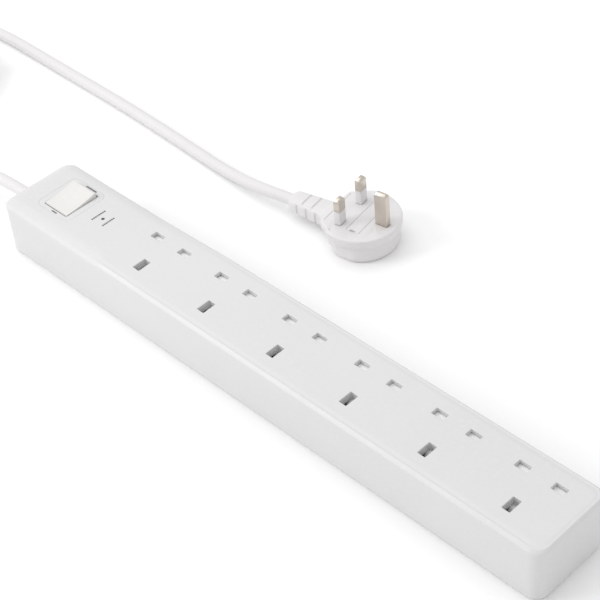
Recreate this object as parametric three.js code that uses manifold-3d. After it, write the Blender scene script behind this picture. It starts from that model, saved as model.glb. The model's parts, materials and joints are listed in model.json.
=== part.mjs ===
// Six-way switched extension lead for 13 A plugs, with surge protection, its cord and its moulded plug.
// Millimetres. +Z up, +X along the strip away from the cord, +Y towards the row of line and neutral slots.
// Origin: the middle of the strip's underside.
import * as THREE from 'three';
import { mergeVertices } from 'three/addons/utils/BufferGeometryUtils.js';
import Module from 'manifold-3d';

const wasm = await Module();
wasm.setup();

// ---- driving dimensions ----
const GAP = 0.3; // clearance between pieces that touch on the real object
const BITE = 1; // how far a cutter or a joined piece runs past a face

// strip housing
const LENGTH = 402;
const WIDTH = 53;
const HEIGHT = 36;
const CORNER = 7.5; // plan radius of the vertical corners
const WALL = 2.2;
const TOP_WALL = 2.4;
// the top edge from a crease in the wall inwards, as [inset, drop below the top]
const CRISP_EDGE = [[0, 2.1], [1, 1.1], [2, 0.15], [3.5, 0.08], [5.1, 0]]; // a facet, along the sockets
const SOFT_EDGE = [[0, 3.2], [2.1, 1.8], [4.3, 0.8], [6.7, 0.2], [9.2, 0]]; // an arc, round the switch
const INNER_EDGE = { reach: 0.8, fall: 0.3 }; // share of that inset and drop on the inside
const LEAST_CORNER = 0.6; // plan radius left where the soft edge uses up the corner
const SOFT_END = -124; // the soft edge ends here along X
const CRISP_START = -110; // and the crisp edge is complete from here on
const COVER_FOOT = 1.5; // lower rim of the top cover
const CEILING = HEIGHT - TOP_WALL;
const FOOT = { inset: 0.8, thick: 1.2 }; // the plate it stands on, a thin set-back line from outside
const TRAY = { inset: WALL + GAP, floor: 2.2, rim: 6, wall: 1.4 }; // the part of the base inside the cover
const BASE_ROOT = 1.5; // what stands on the base starts here, inside its floor
const RIB = { y: 1.5, halfX: 1, halfY: 16, top: 4.7 };

// base screws, their wells in the base and their bosses in the cover
const BOSS = { radius: 3.2, foot: 4.9, pilot: 1.8, pilotTop: 17 };
const WELL = { radius: 5.2, top: 4.6, headRadius: 3.5, headTop: 2.6 };
const BASE_SCREW = { z: 0.4, head: 3.1, shaft: 1.5, headHeight: 1.9, length: 15.5 };

// slots in the base that hang the strip on two wall screws
const KEYHOLES = [-120, 120];
const KEYHOLE = { head: 4.2, neck: 2.2, run: 8, roof: 8.4, wall: 1.2 };

// sockets
const SOCKETS = 6;
const FIRST_SOCKET = -93;
const SOCKET_PITCH = 52.8;
const PIN_ROW = 12; // Y of the line and neutral slots
const EARTH_ROW = -10.2; // Y of the earth slots
const HALF_PITCH = 11.115; // half the 22.23 mm between the line and neutral pins
const SLOT = { x: 8.2, y: 5.2 };
const EARTH_SLOT = { x: 5.4, y: 9.6 };
const EARTH_SHROUD = { wall: 1.4, drop: 2.6 };

// shutters, one behind each set of slots
const SHUTTER = { halfX: 17.5, y0: 9, y1: 15.5, top: 33.2, bottom: 31 };
const STEM = { halfX: 3.2, y0: -12, y1: 10, top: 30.5, bottom: 25.6, lip: 0.8 };
const RAMP = { start: -7.6, end: 5, crest: 7.5 }; // Y of the slope's top, and of the rise to the bar
const LUG = { y0: 9.5, bottom: 29 }; // where the spring pushes
const SPRING = { radius: 1.6, wire: 0.5, z: 31, coils: 3, perCoil: 8, sides: 4 };

// contacts
const BRASS = 0.8; // sheet thickness
const LEAF_GAP = 4.5;
const CONTACT = { floor: 5, leafTop: 22.4, width: 6 };
const RAIL = { x0: -112, x1: 186.5, top: 11 };
const LIVE_RAIL = 16.2;
const NEUTRAL_RAIL = 7;
const EARTH_STRIP = 3.4; // half the width of the earth rail
const CARRIER = { x0: -113, x1: 189.4, y0: -16.6, y1: 23.4, bottom: 23, top: 25 };
const GUIDE = { x: 16.4, y: 15.2, halfX: 1, halfY: 7.4, top: 30.6 };
const LEG = { rows: [-2, 11.5], radius: 2.1 };
const WINDOW = { halfX: 4, halfY: 3 };
const EARTH_WINDOW = { halfX: 2.9, halfY: 4.9 };

// switch
const SWITCH = { x: -168.5, y: 1.4 };
const ROCKER = { halfX: 9.6, halfY: 11.4, crest: 4.7, dish: 0.7, pin: 1.5, plunger: 11.2 };
const ROCKER_PIVOT = { z: 33, tilt: 7.2, reach: 1.8 }; // reach of its pins past each side
const BEZEL = { halfX: 14, halfY: 15, corner: 4, mouthX: 10, mouthY: 12.25 };
const SWITCH_BODY = { halfX: 13, halfY: 14.2, bottom: 14, floor: 15.5 };
const SHOULDER = { halfX: 15.5, halfY: 15.6, bottom: 31.8, seam: 32 };
const SEESAW = { z: 21, halfX: 3, halfY: 8, tilt: -7.2 };
const TERMINAL = { halfX: 2, foot: 9, contactY: -7, inTop: 20.3, outTop: 19.4 };

// surge protection board and its lamp
const BOARD = { x0: -150.5, x1: -121, halfY: 17, z0: 20, z1: 21.6 };
const POST = { x0: -147.5, x1: -124, y: 14, radius: 1.8 };
const LAMP = { x: -140.5, y: 1.8, pipe: 1, hole: 1.3, collar: 2 };
const VARISTOR = { places: [-137, -131.5, -126], thick: 4.2, y: 6, z: 27.1, radius: 5.2 };
const THERMAL_FUSE = { x0: -137, x1: -124, y: -7, z: 24.1, radius: 2.2 };
const RESISTOR = { x0: -148, x1: -142, y: -8, z: 23.2, radius: 1.3 };

// cord, its gland and its clamp
const CORD_D = 7.4;
const CORD_Z = 17.5; // height at which it leaves the strip
const GLAND = { hole: 5.7, body: 5.4, flange: 7.2, bore: 4, depth: 4.4 };
const CLAMP = { x: -191.8, halfX: 3.3, halfY: 14, screwY: 10.6, postTop: 21.2, bottom: 21.5, top: 24 };
const CLAMP_POST = { radius: 2.9, pilot: 1.5, pilotFoot: 9 };
const CLAMP_SCREW = { head: 2.5, shaft: 1.2, headHeight: 1.6, length: 14, hole: 1.6 };
const SADDLE_HALF = 4.5;
const CORE_D = 2.6;

// the coil: turns side by side in two layers, held by a strap
const COIL = { x: -385, y: 29, mean: 43, base: 1.3, layers: 2, columns: 3 };
const TIE = { band: 1, width: 12, angle: 60, bulge: 0.6 }; // bulge: room for the bundle's own curve

// plug, lying on its back with its pins up
const PLUG = { x: -51, y: 113.5, yaw: 9.6, thick: 18, flat: -12, relief: 30 };
const LN_PIN = { x: 6.35, y: 4, length: 17.7, sleeve: 9.2 };
const EARTH_PIN = { x: 4, y: 8, length: 22.7, y0: 22.23 }; // y0: from the line and neutral pins
const FUSE = { radius: 3.175, length: 25.4 };
const FUSE_CARRIER = { x0: -13.5, x1: 15, y0: 6.5, y1: 14.9, depth: 9 };
const FUSE_Z = 12.6;
const FUSE_CLIP = { x: 9, halfX: 2.4, halfY: 2.3, z0: 3.8, z1: 9 };
const PRY_SLOT = { length: 1.6, halfY: 1.8, depth: 1.6 };
const PIN_ROOT = 8; // length of each pin inside the moulding
const PIN_NECK = 0.8; // how far a sleeved pin is cut back under its sleeve
const PIN_CHAMFER = 1.4;
const PLUG_ROUND = { radius: 24.4, y: 7, start: -18 }; // the broad end is an arc about this centre
const PLUG_FLAT_HALF = 16.5;

// ---- finishes ----
const finish = (color, roughness = 0.45, metalness = 0) =>
  new THREE.MeshStandardMaterial({ color, roughness, metalness });
const COVER_WHITE = finish(0xe9e8e9);
const BASE_WHITE = finish(0xdcdcdc, 0.6);
const ROCKER_CREAM = finish(0xf0f0ec, 0.3);
const SHUTTER_WHITE = finish(0xe4e4e6, 0.5);
const NYLON = finish(0xcfcfc8, 0.6);
const BRASS_SHEET = finish(0xb8913f, 0.35, 1);
const STEEL = finish(0x9a9a9c, 0.35, 1);
const NICKEL = finish(0xc9c2b4, 0.28, 1);
const CORD_WHITE = finish(0xe8e5e6, 0.55);
const BOARD_GREEN = finish(0x2f6b3c, 0.6);
const VARISTOR_BLUE = finish(0x2c5f9e, 0.5);
const DARK = finish(0x2b2b2d, 0.4);
const CERAMIC = finish(0xe6e0d2, 0.4);
const WIRE_BROWN = finish(0x6b3b1f, 0.5);
const WIRE_BLUE = finish(0x2a5db0, 0.5);
const WIRE_GREEN = finish(0x6da532, 0.5);

// ---- shape helpers ----
function toSolid(geometry) {
  const bare = geometry.clone();
  bare.deleteAttribute('normal');
  bare.deleteAttribute('uv');
  const merged = mergeVertices(bare, 1e-4);
  const mesh = new wasm.Mesh({
    numProp: 3,
    vertProperties: new Float32Array(merged.attributes.position.array),
    triVerts: new Uint32Array(merged.index.array),
  });
  return new wasm.Manifold(mesh);
}

function toGeometry(solid) {
  const { vertProperties, triVerts } = solid.getMesh();
  const geometry = new THREE.BufferGeometry();
  geometry.setAttribute('position', new THREE.BufferAttribute(new Float32Array(vertProperties), 3));
  geometry.setIndex(new THREE.BufferAttribute(new Uint32Array(triVerts), 1));
  geometry.computeVertexNormals();
  return geometry;
}

// the first shape with every further shape joined on
function join(...geometries) {
  return toGeometry(geometries.map(toSolid).reduce((whole, piece) => whole.add(piece)));
}

// the first shape with every further shape cut away
function cut(base, ...tools) {
  return toGeometry(tools.map(toSolid).reduce((rest, tool) => rest.subtract(tool), toSolid(base)));
}

function box(x0, x1, y0, y1, z0, z1) {
  const geometry = new THREE.BoxGeometry(x1 - x0, y1 - y0, z1 - z0);
  return geometry.translate((x0 + x1) / 2, (y0 + y1) / 2, (z0 + z1) / 2);
}

// a box given by its centre in plan
function block(x, y, halfX, halfY, z0, z1) {
  return box(x - halfX, x + halfX, y - halfY, y + halfY, z0, z1);
}

// an upright round rod
function rod(x, y, radius, z0, z1, sides = 12) {
  const geometry = new THREE.CylinderGeometry(radius, radius, z1 - z0, sides);
  return geometry.rotateX(Math.PI / 2).translate(x, y, (z0 + z1) / 2);
}

// a round rod along X
function rodX(x0, x1, y, z, radius, sides = 14) {
  const geometry = new THREE.CylinderGeometry(radius, radius, x1 - x0, sides);
  return geometry.rotateZ(Math.PI / 2).translate((x0 + x1) / 2, y, z);
}

// a turned shape about an upright axis, from [radius, z] pairs that start and end on the axis
function turned(profile, x, y, sides = 10) {
  const points = profile.map(([r, z]) => new THREE.Vector2(r, z));
  return new THREE.LatheGeometry(points, sides).rotateX(Math.PI / 2).translate(x, y, 0);
}

// what two shapes have in common
function common(a, b) {
  return toGeometry(toSolid(a).intersect(toSolid(b)));
}

// an outline of [x, y] pairs, extruded upwards
function plate(outline, z0, z1) {
  const shape = new THREE.Shape(outline.map(([x, y]) => new THREE.Vector2(x, y)));
  const geometry = new THREE.ExtrudeGeometry(shape, { depth: z1 - z0, bevelEnabled: false });
  return geometry.translate(0, 0, z0);
}

// a side view of [y, z] pairs, extruded along X
function profileX(outline, x0, x1) {
  const turn = new THREE.Matrix4().makeBasis(
    new THREE.Vector3(0, 1, 0),
    new THREE.Vector3(0, 0, 1),
    new THREE.Vector3(1, 0, 0),
  );
  return plate(outline, x0, x1).applyMatrix4(turn);
}

// a tube with flat ends along a smooth curve through the points
function tube(points, diameter, steps, sides = 10) {
  const section = new THREE.Shape();
  for (let i = 0; i < sides; i++) {
    const a = (i / sides) * 2 * Math.PI;
    const corner = [(diameter / 2) * Math.cos(a), (diameter / 2) * Math.sin(a)];
    if (i === 0) section.moveTo(...corner);
    else section.lineTo(...corner);
  }
  const route = new THREE.CatmullRomCurve3(points.map((p) => new THREE.Vector3(...p)));
  return new THREE.ExtrudeGeometry(section, { steps, extrudePath: route, bevelEnabled: false });
}

// a closed skin over a stack of rings, each with the same number of points, from the lowest up
function loft(rings) {
  const count = rings[0].length;
  const positions = rings.flatMap((ring) => ring.flatMap(([x, y, z]) => [x, y, z]));
  const index = [];
  for (let r = 0; r + 1 < rings.length; r++) {
    for (let i = 0; i < count; i++) {
      const a = r * count + i;
      const b = r * count + ((i + 1) % count);
      index.push(a, b, b + count, a, b + count, a + count);
    }
  }
  const cap = (ring, first, up) => {
    const flat = ring.map(([x, y]) => new THREE.Vector2(x, y));
    for (const [a, b, c] of THREE.ShapeUtils.triangulateShape(flat, [])) {
      if (up) index.push(first + a, first + b, first + c);
      else index.push(first + a, first + c, first + b);
    }
  };
  cap(rings[0], 0, false);
  cap(rings[rings.length - 1], (rings.length - 1) * count, true);
  const geometry = new THREE.BufferGeometry();
  geometry.setAttribute('position', new THREE.Float32BufferAttribute(positions, 3));
  geometry.setIndex(index);
  return geometry;
}

// a rectangle with round corners, counter-clockwise; onSide lists extra X places on the long sides
function roundedOutline(halfX, halfY, radius, steps = 6, onSide = []) {
  const points = [];
  const corners = [
    [1, 1, 0],
    [-1, 1, 90],
    [-1, -1, 180],
    [1, -1, 270],
  ];
  for (const [sx, sy, start] of corners) {
    for (let i = 0; i <= steps; i++) {
      const a = THREE.MathUtils.degToRad(start + (90 * i) / steps);
      points.push([
        sx * (halfX - radius) + radius * Math.cos(a),
        sy * (halfY - radius) + radius * Math.sin(a),
      ]);
    }
    if (start === 0) points.push(...onSide.map((x) => [x, halfY]).reverse());
    if (start === 180) points.push(...onSide.map((x) => [x, -halfY]));
  }
  return points;
}

// ---- the object ----
const lead = new THREE.Group();

function add(name, geometry, material, parent = lead) {
  const mesh = new THREE.Mesh(geometry, material);
  mesh.name = name;
  parent.add(mesh);
}

const END = -LENGTH / 2; // the end wall that the cord leaves
const socketX = Array.from({ length: SOCKETS }, (_, i) => FIRST_SOCKET + i * SOCKET_PITCH);
const betweenSockets = socketX.slice(0, -1).map((x) => x + SOCKET_PITCH / 2);
const screwPlaces = [
  [-190.5, 19],
  [-190.5, -19],
  [betweenSockets[1], 20.4],
  [betweenSockets[1], -20.4],
  [193.4, 17.5],
  [193.4, -17.5],
];
const boardPosts = [POST.x0, POST.x1].flatMap((x) => [
  [x, POST.y],
  [x, -POST.y],
]);

// ---- housing ----
// a step of the top edge at a place along the strip, as [inset, drop]
function edgeStep(x, i) {
  const crisp = THREE.MathUtils.smoothstep(x, SOFT_END, CRISP_START);
  return SOFT_EDGE[i].map((soft, k) => THREE.MathUtils.lerp(soft, CRISP_EDGE[i][k], crisp));
}

// the outside or the inside of the cover: a box with round corners whose top edge follows edgeStep
function coverSkin(inset, foot, top, { reach, fall } = { reach: 1, fall: 1 }) {
  const third = (CRISP_START - SOFT_END) / 3;
  const onSide = [SOFT_END, SOFT_END + third, CRISP_START - third, CRISP_START];
  const halfX = LENGTH / 2 - inset;
  const halfY = WIDTH / 2 - inset;
  const base = roundedOutline(halfX, halfY, CORNER - inset, 6, onSide);
  const ringAt = (step) =>
    base.map(([x], i) => {
      const [more, drop] = edgeStep(x, step);
      const radius = Math.max(CORNER - inset - more * reach, LEAST_CORNER);
      const outline = roundedOutline(halfX - more * reach, halfY - more * reach, radius, 6, onSide);
      return [...outline[i], top - drop * fall];
    });
  return loft([base.map(([x, y]) => [x, y, foot]), ...SOFT_EDGE.map((_, step) => ringAt(step))]);
}

function topCover() {
  const shell = cut(coverSkin(0, COVER_FOOT, HEIGHT), coverSkin(WALL, -BITE, CEILING, INNER_EDGE));
  const roots = CEILING + BITE / 2;
  const bosses = screwPlaces.map(([x, y]) => rod(x, y, BOSS.radius, BOSS.foot, roots));
  const posts = boardPosts.map(([x, y]) => rod(x, y, POST.radius, BOARD.z1 + GAP, roots, 10));
  const { wall, drop } = EARTH_SHROUD;
  const shrouds = socketX.map((x) => {
    const halfX = EARTH_SLOT.x / 2 + wall;
    return block(x, EARTH_ROW, halfX, EARTH_SLOT.y / 2 + wall, CEILING - drop, roots);
  });
  const pilots = screwPlaces.map(([x, y]) => rod(x, y, BOSS.pilot, BOSS.foot - BITE, BOSS.pilotTop, 10));
  const above = HEIGHT + BITE;
  const slots = socketX.flatMap((x) => [
    block(x - HALF_PITCH, PIN_ROW, SLOT.x / 2, SLOT.y / 2, CEILING - BITE, above),
    block(x + HALF_PITCH, PIN_ROW, SLOT.x / 2, SLOT.y / 2, CEILING - BITE, above),
    block(x, EARTH_ROW, EARTH_SLOT.x / 2, EARTH_SLOT.y / 2, CEILING - drop - BITE, above),
  ]);
  const bezel = roundedOutline(BEZEL.halfX + GAP, BEZEL.halfY + GAP, BEZEL.corner + GAP);
  const switchHole = plate(bezel, CEILING - BITE, above).translate(SWITCH.x, SWITCH.y, 0);
  const lampHole = rod(LAMP.x, LAMP.y, LAMP.hole, CEILING - BITE, above, 12);
  const cordHole = rodX(END - BITE, END + WALL + BITE, 0, CORD_Z, GLAND.hole, 20);
  const solid = join(shell, ...bosses, ...posts, ...shrouds);
  return cut(solid, ...pilots, ...slots, switchHole, lampHole, cordHole);
}
add('top_cover', topCover(), COVER_WHITE);

function insetOutline(inset) {
  return roundedOutline(LENGTH / 2 - inset, WIDTH / 2 - inset, CORNER - inset, 6);
}

// the foot plate with its tray, screw wells, ribs, clamp posts, cord saddle and hooded keyholes
function baseCover() {
  const footPlate = plate(insetOutline(FOOT.inset), 0, FOOT.thick);
  const tray = cut(
    plate(insetOutline(TRAY.inset), FOOT.thick / 2, TRAY.rim),
    plate(insetOutline(TRAY.inset + TRAY.wall), TRAY.floor, TRAY.rim + BITE),
  );
  const inside = plate(insetOutline(TRAY.inset), FOOT.thick / 2, HEIGHT);
  const wells = screwPlaces.map(([x, y]) => common(rod(x, y, WELL.radius, BASE_ROOT, WELL.top), inside));
  const ribs = betweenSockets.map((x) => block(x, RIB.y, RIB.halfX, RIB.halfY, BASE_ROOT, RIB.top));
  const clampSides = [-CLAMP.screwY, CLAMP.screwY];
  const posts = clampSides.map((y) => rod(CLAMP.x, y, CLAMP_POST.radius, BASE_ROOT, CLAMP.postTop));
  const saddle = block(CLAMP.x, 0, CLAMP.halfX, SADDLE_HALF, BASE_ROOT, CORD_Z - CORD_D / 2 - GAP);
  const { head, neck, run, roof, wall } = KEYHOLE;
  const roomX = run / 2 + head + BITE;
  const roomY = head + BITE / 2;
  const hoods = KEYHOLES.map((x) => block(x + run / 2, 0, roomX + wall, roomY + wall, BASE_ROOT, roof));
  const bores = screwPlaces.flatMap(([x, y]) => [
    rod(x, y, WELL.headRadius, -BITE, WELL.headTop),
    rod(x, y, BOSS.pilot, -BITE, WELL.top + BITE, 10),
  ]);
  const reliefs = screwPlaces.map(([x, y]) => rod(x, y, BOSS.radius + GAP, WELL.top, TRAY.rim + BITE));
  const pilots = clampSides.map((y) =>
    rod(CLAMP.x, y, CLAMP_POST.pilot, CLAMP_POST.pilotFoot, CLAMP.postTop + BITE, 10),
  );
  const keys = KEYHOLES.flatMap((x) => [
    block(x + run / 2, 0, roomX, roomY, TRAY.floor, roof - wall),
    rod(x, 0, head, -BITE, TRAY.floor + BITE, 20),
    block(x + run / 2, 0, run / 2, neck, -BITE, TRAY.floor + BITE),
    rod(x + run, 0, neck, -BITE, TRAY.floor + BITE),
  ]);
  const whole = join(footPlate, tray, ...wells, ...ribs, ...posts, saddle, ...hoods);
  return cut(whole, ...bores, ...reliefs, ...pilots, ...keys);
}
add('base_cover', baseCover(), BASE_WHITE);

// a pan head screw with a conical drive recess; up is 1 when its tip points up, and -1 when down
function screw(x, y, headZ, size, up) {
  const { head, shaft, headHeight, length } = size;
  const at = (z) => headZ + up * z;
  const profile = [
    [0, at(headHeight * 0.6)],
    [head * 0.45, at(0)],
    [head * 0.8, at(0)],
    [head, at(headHeight / 2)],
    [head, at(headHeight)],
    [shaft, at(headHeight)],
    [shaft, at(length - shaft)],
    [0, at(length)],
  ];
  return turned(up > 0 ? profile : profile.reverse(), x, y);
}

screwPlaces.forEach(([x, y], i) => {
  add(`base_screw_${i + 1}`, screw(x, y, BASE_SCREW.z, BASE_SCREW, 1), STEEL);
});

// ---- sockets: contact rails, carrier, shutters and their springs ----
// one strip with a two-leaf clip standing on it at every socket
function contactRail(places, railY) {
  const half = CONTACT.width / 2;
  const leafIn = LEAF_GAP / 2;
  const leafOut = leafIn + BRASS;
  const near = Math.min(railY - BRASS / 2, PIN_ROW - leafOut);
  const far = Math.max(railY + BRASS / 2, PIN_ROW + leafOut);
  const strip = box(RAIL.x0, RAIL.x1, railY - BRASS / 2, railY + BRASS / 2, CONTACT.floor, RAIL.top);
  const clips = places.flatMap((x) => [
    box(x - half, x + half, near, far, CONTACT.floor, CONTACT.floor + BRASS),
    box(x - half, x + half, PIN_ROW + leafIn, PIN_ROW + leafOut, CONTACT.floor, CONTACT.leafTop),
    box(x - half, x + half, PIN_ROW - leafOut, PIN_ROW - leafIn, CONTACT.floor, CONTACT.leafTop),
  ]);
  return join(strip, ...clips);
}
add('live_contact_rail', contactRail(socketX.map((x) => x - HALF_PITCH), LIVE_RAIL), BRASS_SHEET);
add('neutral_contact_rail', contactRail(socketX.map((x) => x + HALF_PITCH), NEUTRAL_RAIL), BRASS_SHEET);

// a flat strip with a pair of leaves at every socket, and one end turned up for its wire
function earthRail() {
  const { floor, leafTop, width } = CONTACT;
  const leafIn = LEAF_GAP / 2;
  const leafOut = leafIn + BRASS;
  const y0 = EARTH_ROW - width / 2;
  const y1 = EARTH_ROW + width / 2;
  const root = floor + BRASS / 2;
  const strip = box(RAIL.x0, RAIL.x1, EARTH_ROW - EARTH_STRIP, EARTH_ROW + EARTH_STRIP, floor, floor + BRASS);
  const upturn = box(RAIL.x0, RAIL.x0 + BRASS, y0, y1, root, RAIL.top);
  const leaves = socketX.flatMap((x) => [
    box(x - leafOut, x - leafIn, y0, y1, root, leafTop),
    box(x + leafIn, x + leafOut, y0, y1, root, leafTop),
  ]);
  return join(strip, upturn, ...leaves);
}
add('earth_contact_rail', earthRail(), BRASS_SHEET);

// the insulating plate over the contacts, with a window for every pin and two guides a shutter
function contactCarrier() {
  const { x0, x1, y0, y1, bottom, top } = CARRIER;
  const deck = box(x0, x1, y0, y1, bottom, top);
  const guides = socketX.flatMap((x) =>
    [-GUIDE.x, GUIDE.x].map((dx) => block(x + dx, GUIDE.y, GUIDE.halfX, GUIDE.halfY, top - BITE, GUIDE.top)),
  );
  const legs = betweenSockets.flatMap((x) =>
    LEG.rows.map((y) => rod(x, y, LEG.radius, RIB.top + GAP, top - BITE, 8)),
  );
  const windows = socketX.flatMap((x) => [
    block(x - HALF_PITCH, PIN_ROW, WINDOW.halfX, WINDOW.halfY, bottom - BITE, top + BITE),
    block(x + HALF_PITCH, PIN_ROW, WINDOW.halfX, WINDOW.halfY, bottom - BITE, top + BITE),
    block(x, EARTH_ROW, EARTH_WINDOW.halfX, EARTH_WINDOW.halfY, bottom - BITE, top + BITE),
  ]);
  const [bossX, bossY] = screwPlaces[2];
  const notch = rod(bossX, bossY, BOSS.radius + 2 * GAP, bottom - BITE, top + BITE);
  return cut(join(deck, ...guides, ...legs), ...windows, notch);
}
add('contact_carrier', contactCarrier(), NYLON);

// a bar that closes the line and neutral slots, and a stem with a ramp under the earth slot
function shutter(x) {
  const { halfX, y0, y1, top, bottom } = SHUTTER;
  const bar = box(x - halfX, x + halfX, y0, y1, bottom, top);
  const side = [
    [STEM.y0, STEM.bottom],
    [STEM.y1, STEM.bottom],
    [STEM.y1, top],
    [RAMP.crest, top],
    [RAMP.end, STEM.top],
    [RAMP.start, STEM.top],
    [STEM.y0, STEM.bottom + STEM.lip],
  ];
  const stem = profileX(side, x - STEM.halfX, x + STEM.halfX);
  const lug = box(x - STEM.halfX, x + STEM.halfX, LUG.y0, y1, LUG.bottom, top);
  return join(bar, stem, lug);
}

// a small compression spring between the shutter and the rear wall
function shutterSpring(x) {
  const from = SHUTTER.y1 + GAP + SPRING.wire / 2;
  const to = WIDTH / 2 - WALL - GAP - SPRING.wire / 2;
  const steps = SPRING.coils * SPRING.perCoil;
  const points = [];
  for (let i = 0; i <= steps; i++) {
    const a = (i / SPRING.perCoil) * 2 * Math.PI;
    const y = from + ((to - from) * i) / steps;
    points.push([x + SPRING.radius * Math.cos(a), y, SPRING.z + SPRING.radius * Math.sin(a)]);
  }
  return tube(points, SPRING.wire, steps, SPRING.sides);
}

socketX.forEach((x, i) => {
  add(`shutter_${i + 1}`, shutter(x), SHUTTER_WHITE);
  add(`shutter_spring_${i + 1}`, shutterSpring(x), STEEL);
});

// ---- rocker switch ----
function switchHousing() {
  const { halfX, halfY, bottom, floor } = SWITCH_BODY;
  const body = block(0, 0, halfX, halfY, bottom, CEILING - GAP);
  const shoulder = block(0, 0, SHOULDER.halfX, SHOULDER.halfY, SHOULDER.bottom, CEILING - GAP);
  const bezel = plate(roundedOutline(BEZEL.halfX, BEZEL.halfY, BEZEL.corner), SHOULDER.seam, HEIGHT);
  const well = block(0, 0, BEZEL.mouthX, BEZEL.mouthY, floor, HEIGHT + BITE);
  const pivot = rodX(-halfX - GAP, halfX + GAP, 0, ROCKER_PIVOT.z, ROCKER.pin + GAP);
  const slots = [0, TERMINAL.contactY].map((y) =>
    block(0, y, TERMINAL.halfX + GAP, BRASS / 2 + GAP, bottom - BITE, floor + BITE),
  );
  return cut(join(body, shoulder, bezel), well, pivot, ...slots).translate(SWITCH.x, SWITCH.y, 0);
}
add('switch_housing', switchHousing(), COVER_WHITE);

// the rocker about its pivot, before it is tilted: a dished face, and a plunger for the contact below
function rockerShape() {
  const { halfX, halfY, crest, dish, plunger, pin } = ROCKER;
  const half = [
    [halfY / 3, crest - (dish * 8) / 9],
    [(halfY * 2) / 3, crest - (dish * 5) / 9],
    [halfY - 0.5, crest],
    [halfY, crest - 0.7],
    [halfY - 0.9, -3],
    [6, -6],
    [1.5, -6.5],
    [1.5, -plunger],
  ];
  const otherHalf = half.map(([y, z]) => [-y, z]).reverse();
  const side = [[0, crest - dish], ...half, ...otherHalf].reverse();
  const reach = halfX + ROCKER_PIVOT.reach;
  return join(profileX(side, -halfX, halfX), rodX(-reach, reach, 0, 0, pin));
}

// a piece of the switch that tilts about X, placed at its pivot
function tilted(name, geometry, material, pivotZ, degrees) {
  const pivot = new THREE.Group();
  pivot.position.set(SWITCH.x, SWITCH.y, pivotZ);
  pivot.rotation.x = THREE.MathUtils.degToRad(degrees);
  lead.add(pivot);
  add(name, geometry, material, pivot);
}
// off: the end towards +Y stands proud
tilted('switch_rocker', rockerShape(), ROCKER_CREAM, ROCKER_PIVOT.z, ROCKER_PIVOT.tilt);

const seesaw = block(0, 0, SEESAW.halfX, SEESAW.halfY, -BRASS / 2, BRASS / 2);
tilted('switch_contact', seesaw, BRASS_SHEET, SEESAW.z, SEESAW.tilt);

function terminal(name, y, top) {
  add(name, block(SWITCH.x, y, TERMINAL.halfX, BRASS / 2, TERMINAL.foot, top), BRASS_SHEET);
}
terminal('switch_terminal_in', SWITCH.y, TERMINAL.inTop);
terminal('switch_terminal_out', SWITCH.y + TERMINAL.contactY, TERMINAL.outTop);

// ---- surge protection board and its lamp ----
// a clear pipe with a collar under the cover, from the lamp to the surface
function lightPipe() {
  const { pipe, collar, x, y } = LAMP;
  const profile = [
    [0, 25.9],
    [pipe, 25.9],
    [pipe, 31.5],
    [collar, 31.5],
    [collar, CEILING - GAP],
    [pipe, CEILING - GAP],
    [pipe, HEIGHT],
    [0, HEIGHT],
  ];
  return turned(profile, x, y, 12);
}
add('indicator_lens', lightPipe(), DARK);

const lampProfile = [
  [0, BOARD.z1 + GAP],
  [1.9, BOARD.z1 + GAP],
  [1.9, 24.2],
  [1.3, 25.1],
  [0, 25.5],
];
add('indicator_lamp', turned(lampProfile, LAMP.x, LAMP.y, 12), CERAMIC);
add('surge_board', box(BOARD.x0, BOARD.x1, -BOARD.halfY, BOARD.halfY, BOARD.z0, BOARD.z1), BOARD_GREEN);
VARISTOR.places.forEach((x, i) => {
  const disc = rodX(x, x + VARISTOR.thick, VARISTOR.y, VARISTOR.z, VARISTOR.radius, 18);
  add(`varistor_${i + 1}`, disc, VARISTOR_BLUE);
});
for (const [name, { x0, x1, y, z, radius }] of [
  ['thermal_fuse', THERMAL_FUSE],
  ['lamp_resistor', RESISTOR],
]) {
  add(name, rodX(x0, x1, y, z, radius, 12), CERAMIC);
}

// ---- cord entry ----
function cordGland() {
  const { body, flange, bore, depth } = GLAND;
  const sleeve = rodX(END, END + depth, 0, CORD_Z, body, 20);
  const rim = rodX(END + WALL + GAP, END + depth, 0, CORD_Z, flange, 20);
  return cut(join(sleeve, rim), rodX(END - BITE, END + depth + BITE, 0, CORD_Z, bore, 20));
}
add('cord_gland', cordGland(), BASE_WHITE);

function cordClamp() {
  const bar = block(CLAMP.x, 0, CLAMP.halfX, CLAMP.halfY, CLAMP.bottom, CLAMP.top);
  const holes = [-CLAMP.screwY, CLAMP.screwY].map((y) =>
    rod(CLAMP.x, y, CLAMP_SCREW.hole, CLAMP.bottom - BITE, CLAMP.top + BITE, 10),
  );
  return cut(bar, ...holes);
}
add('cord_clamp', cordClamp(), NYLON);
[-CLAMP.screwY, CLAMP.screwY].forEach((y, i) => {
  const headTop = CLAMP.top + GAP + CLAMP_SCREW.headHeight;
  add(`clamp_screw_${i + 1}`, screw(CLAMP.x, y, headTop, CLAMP_SCREW, -1), STEEL);
});

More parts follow.
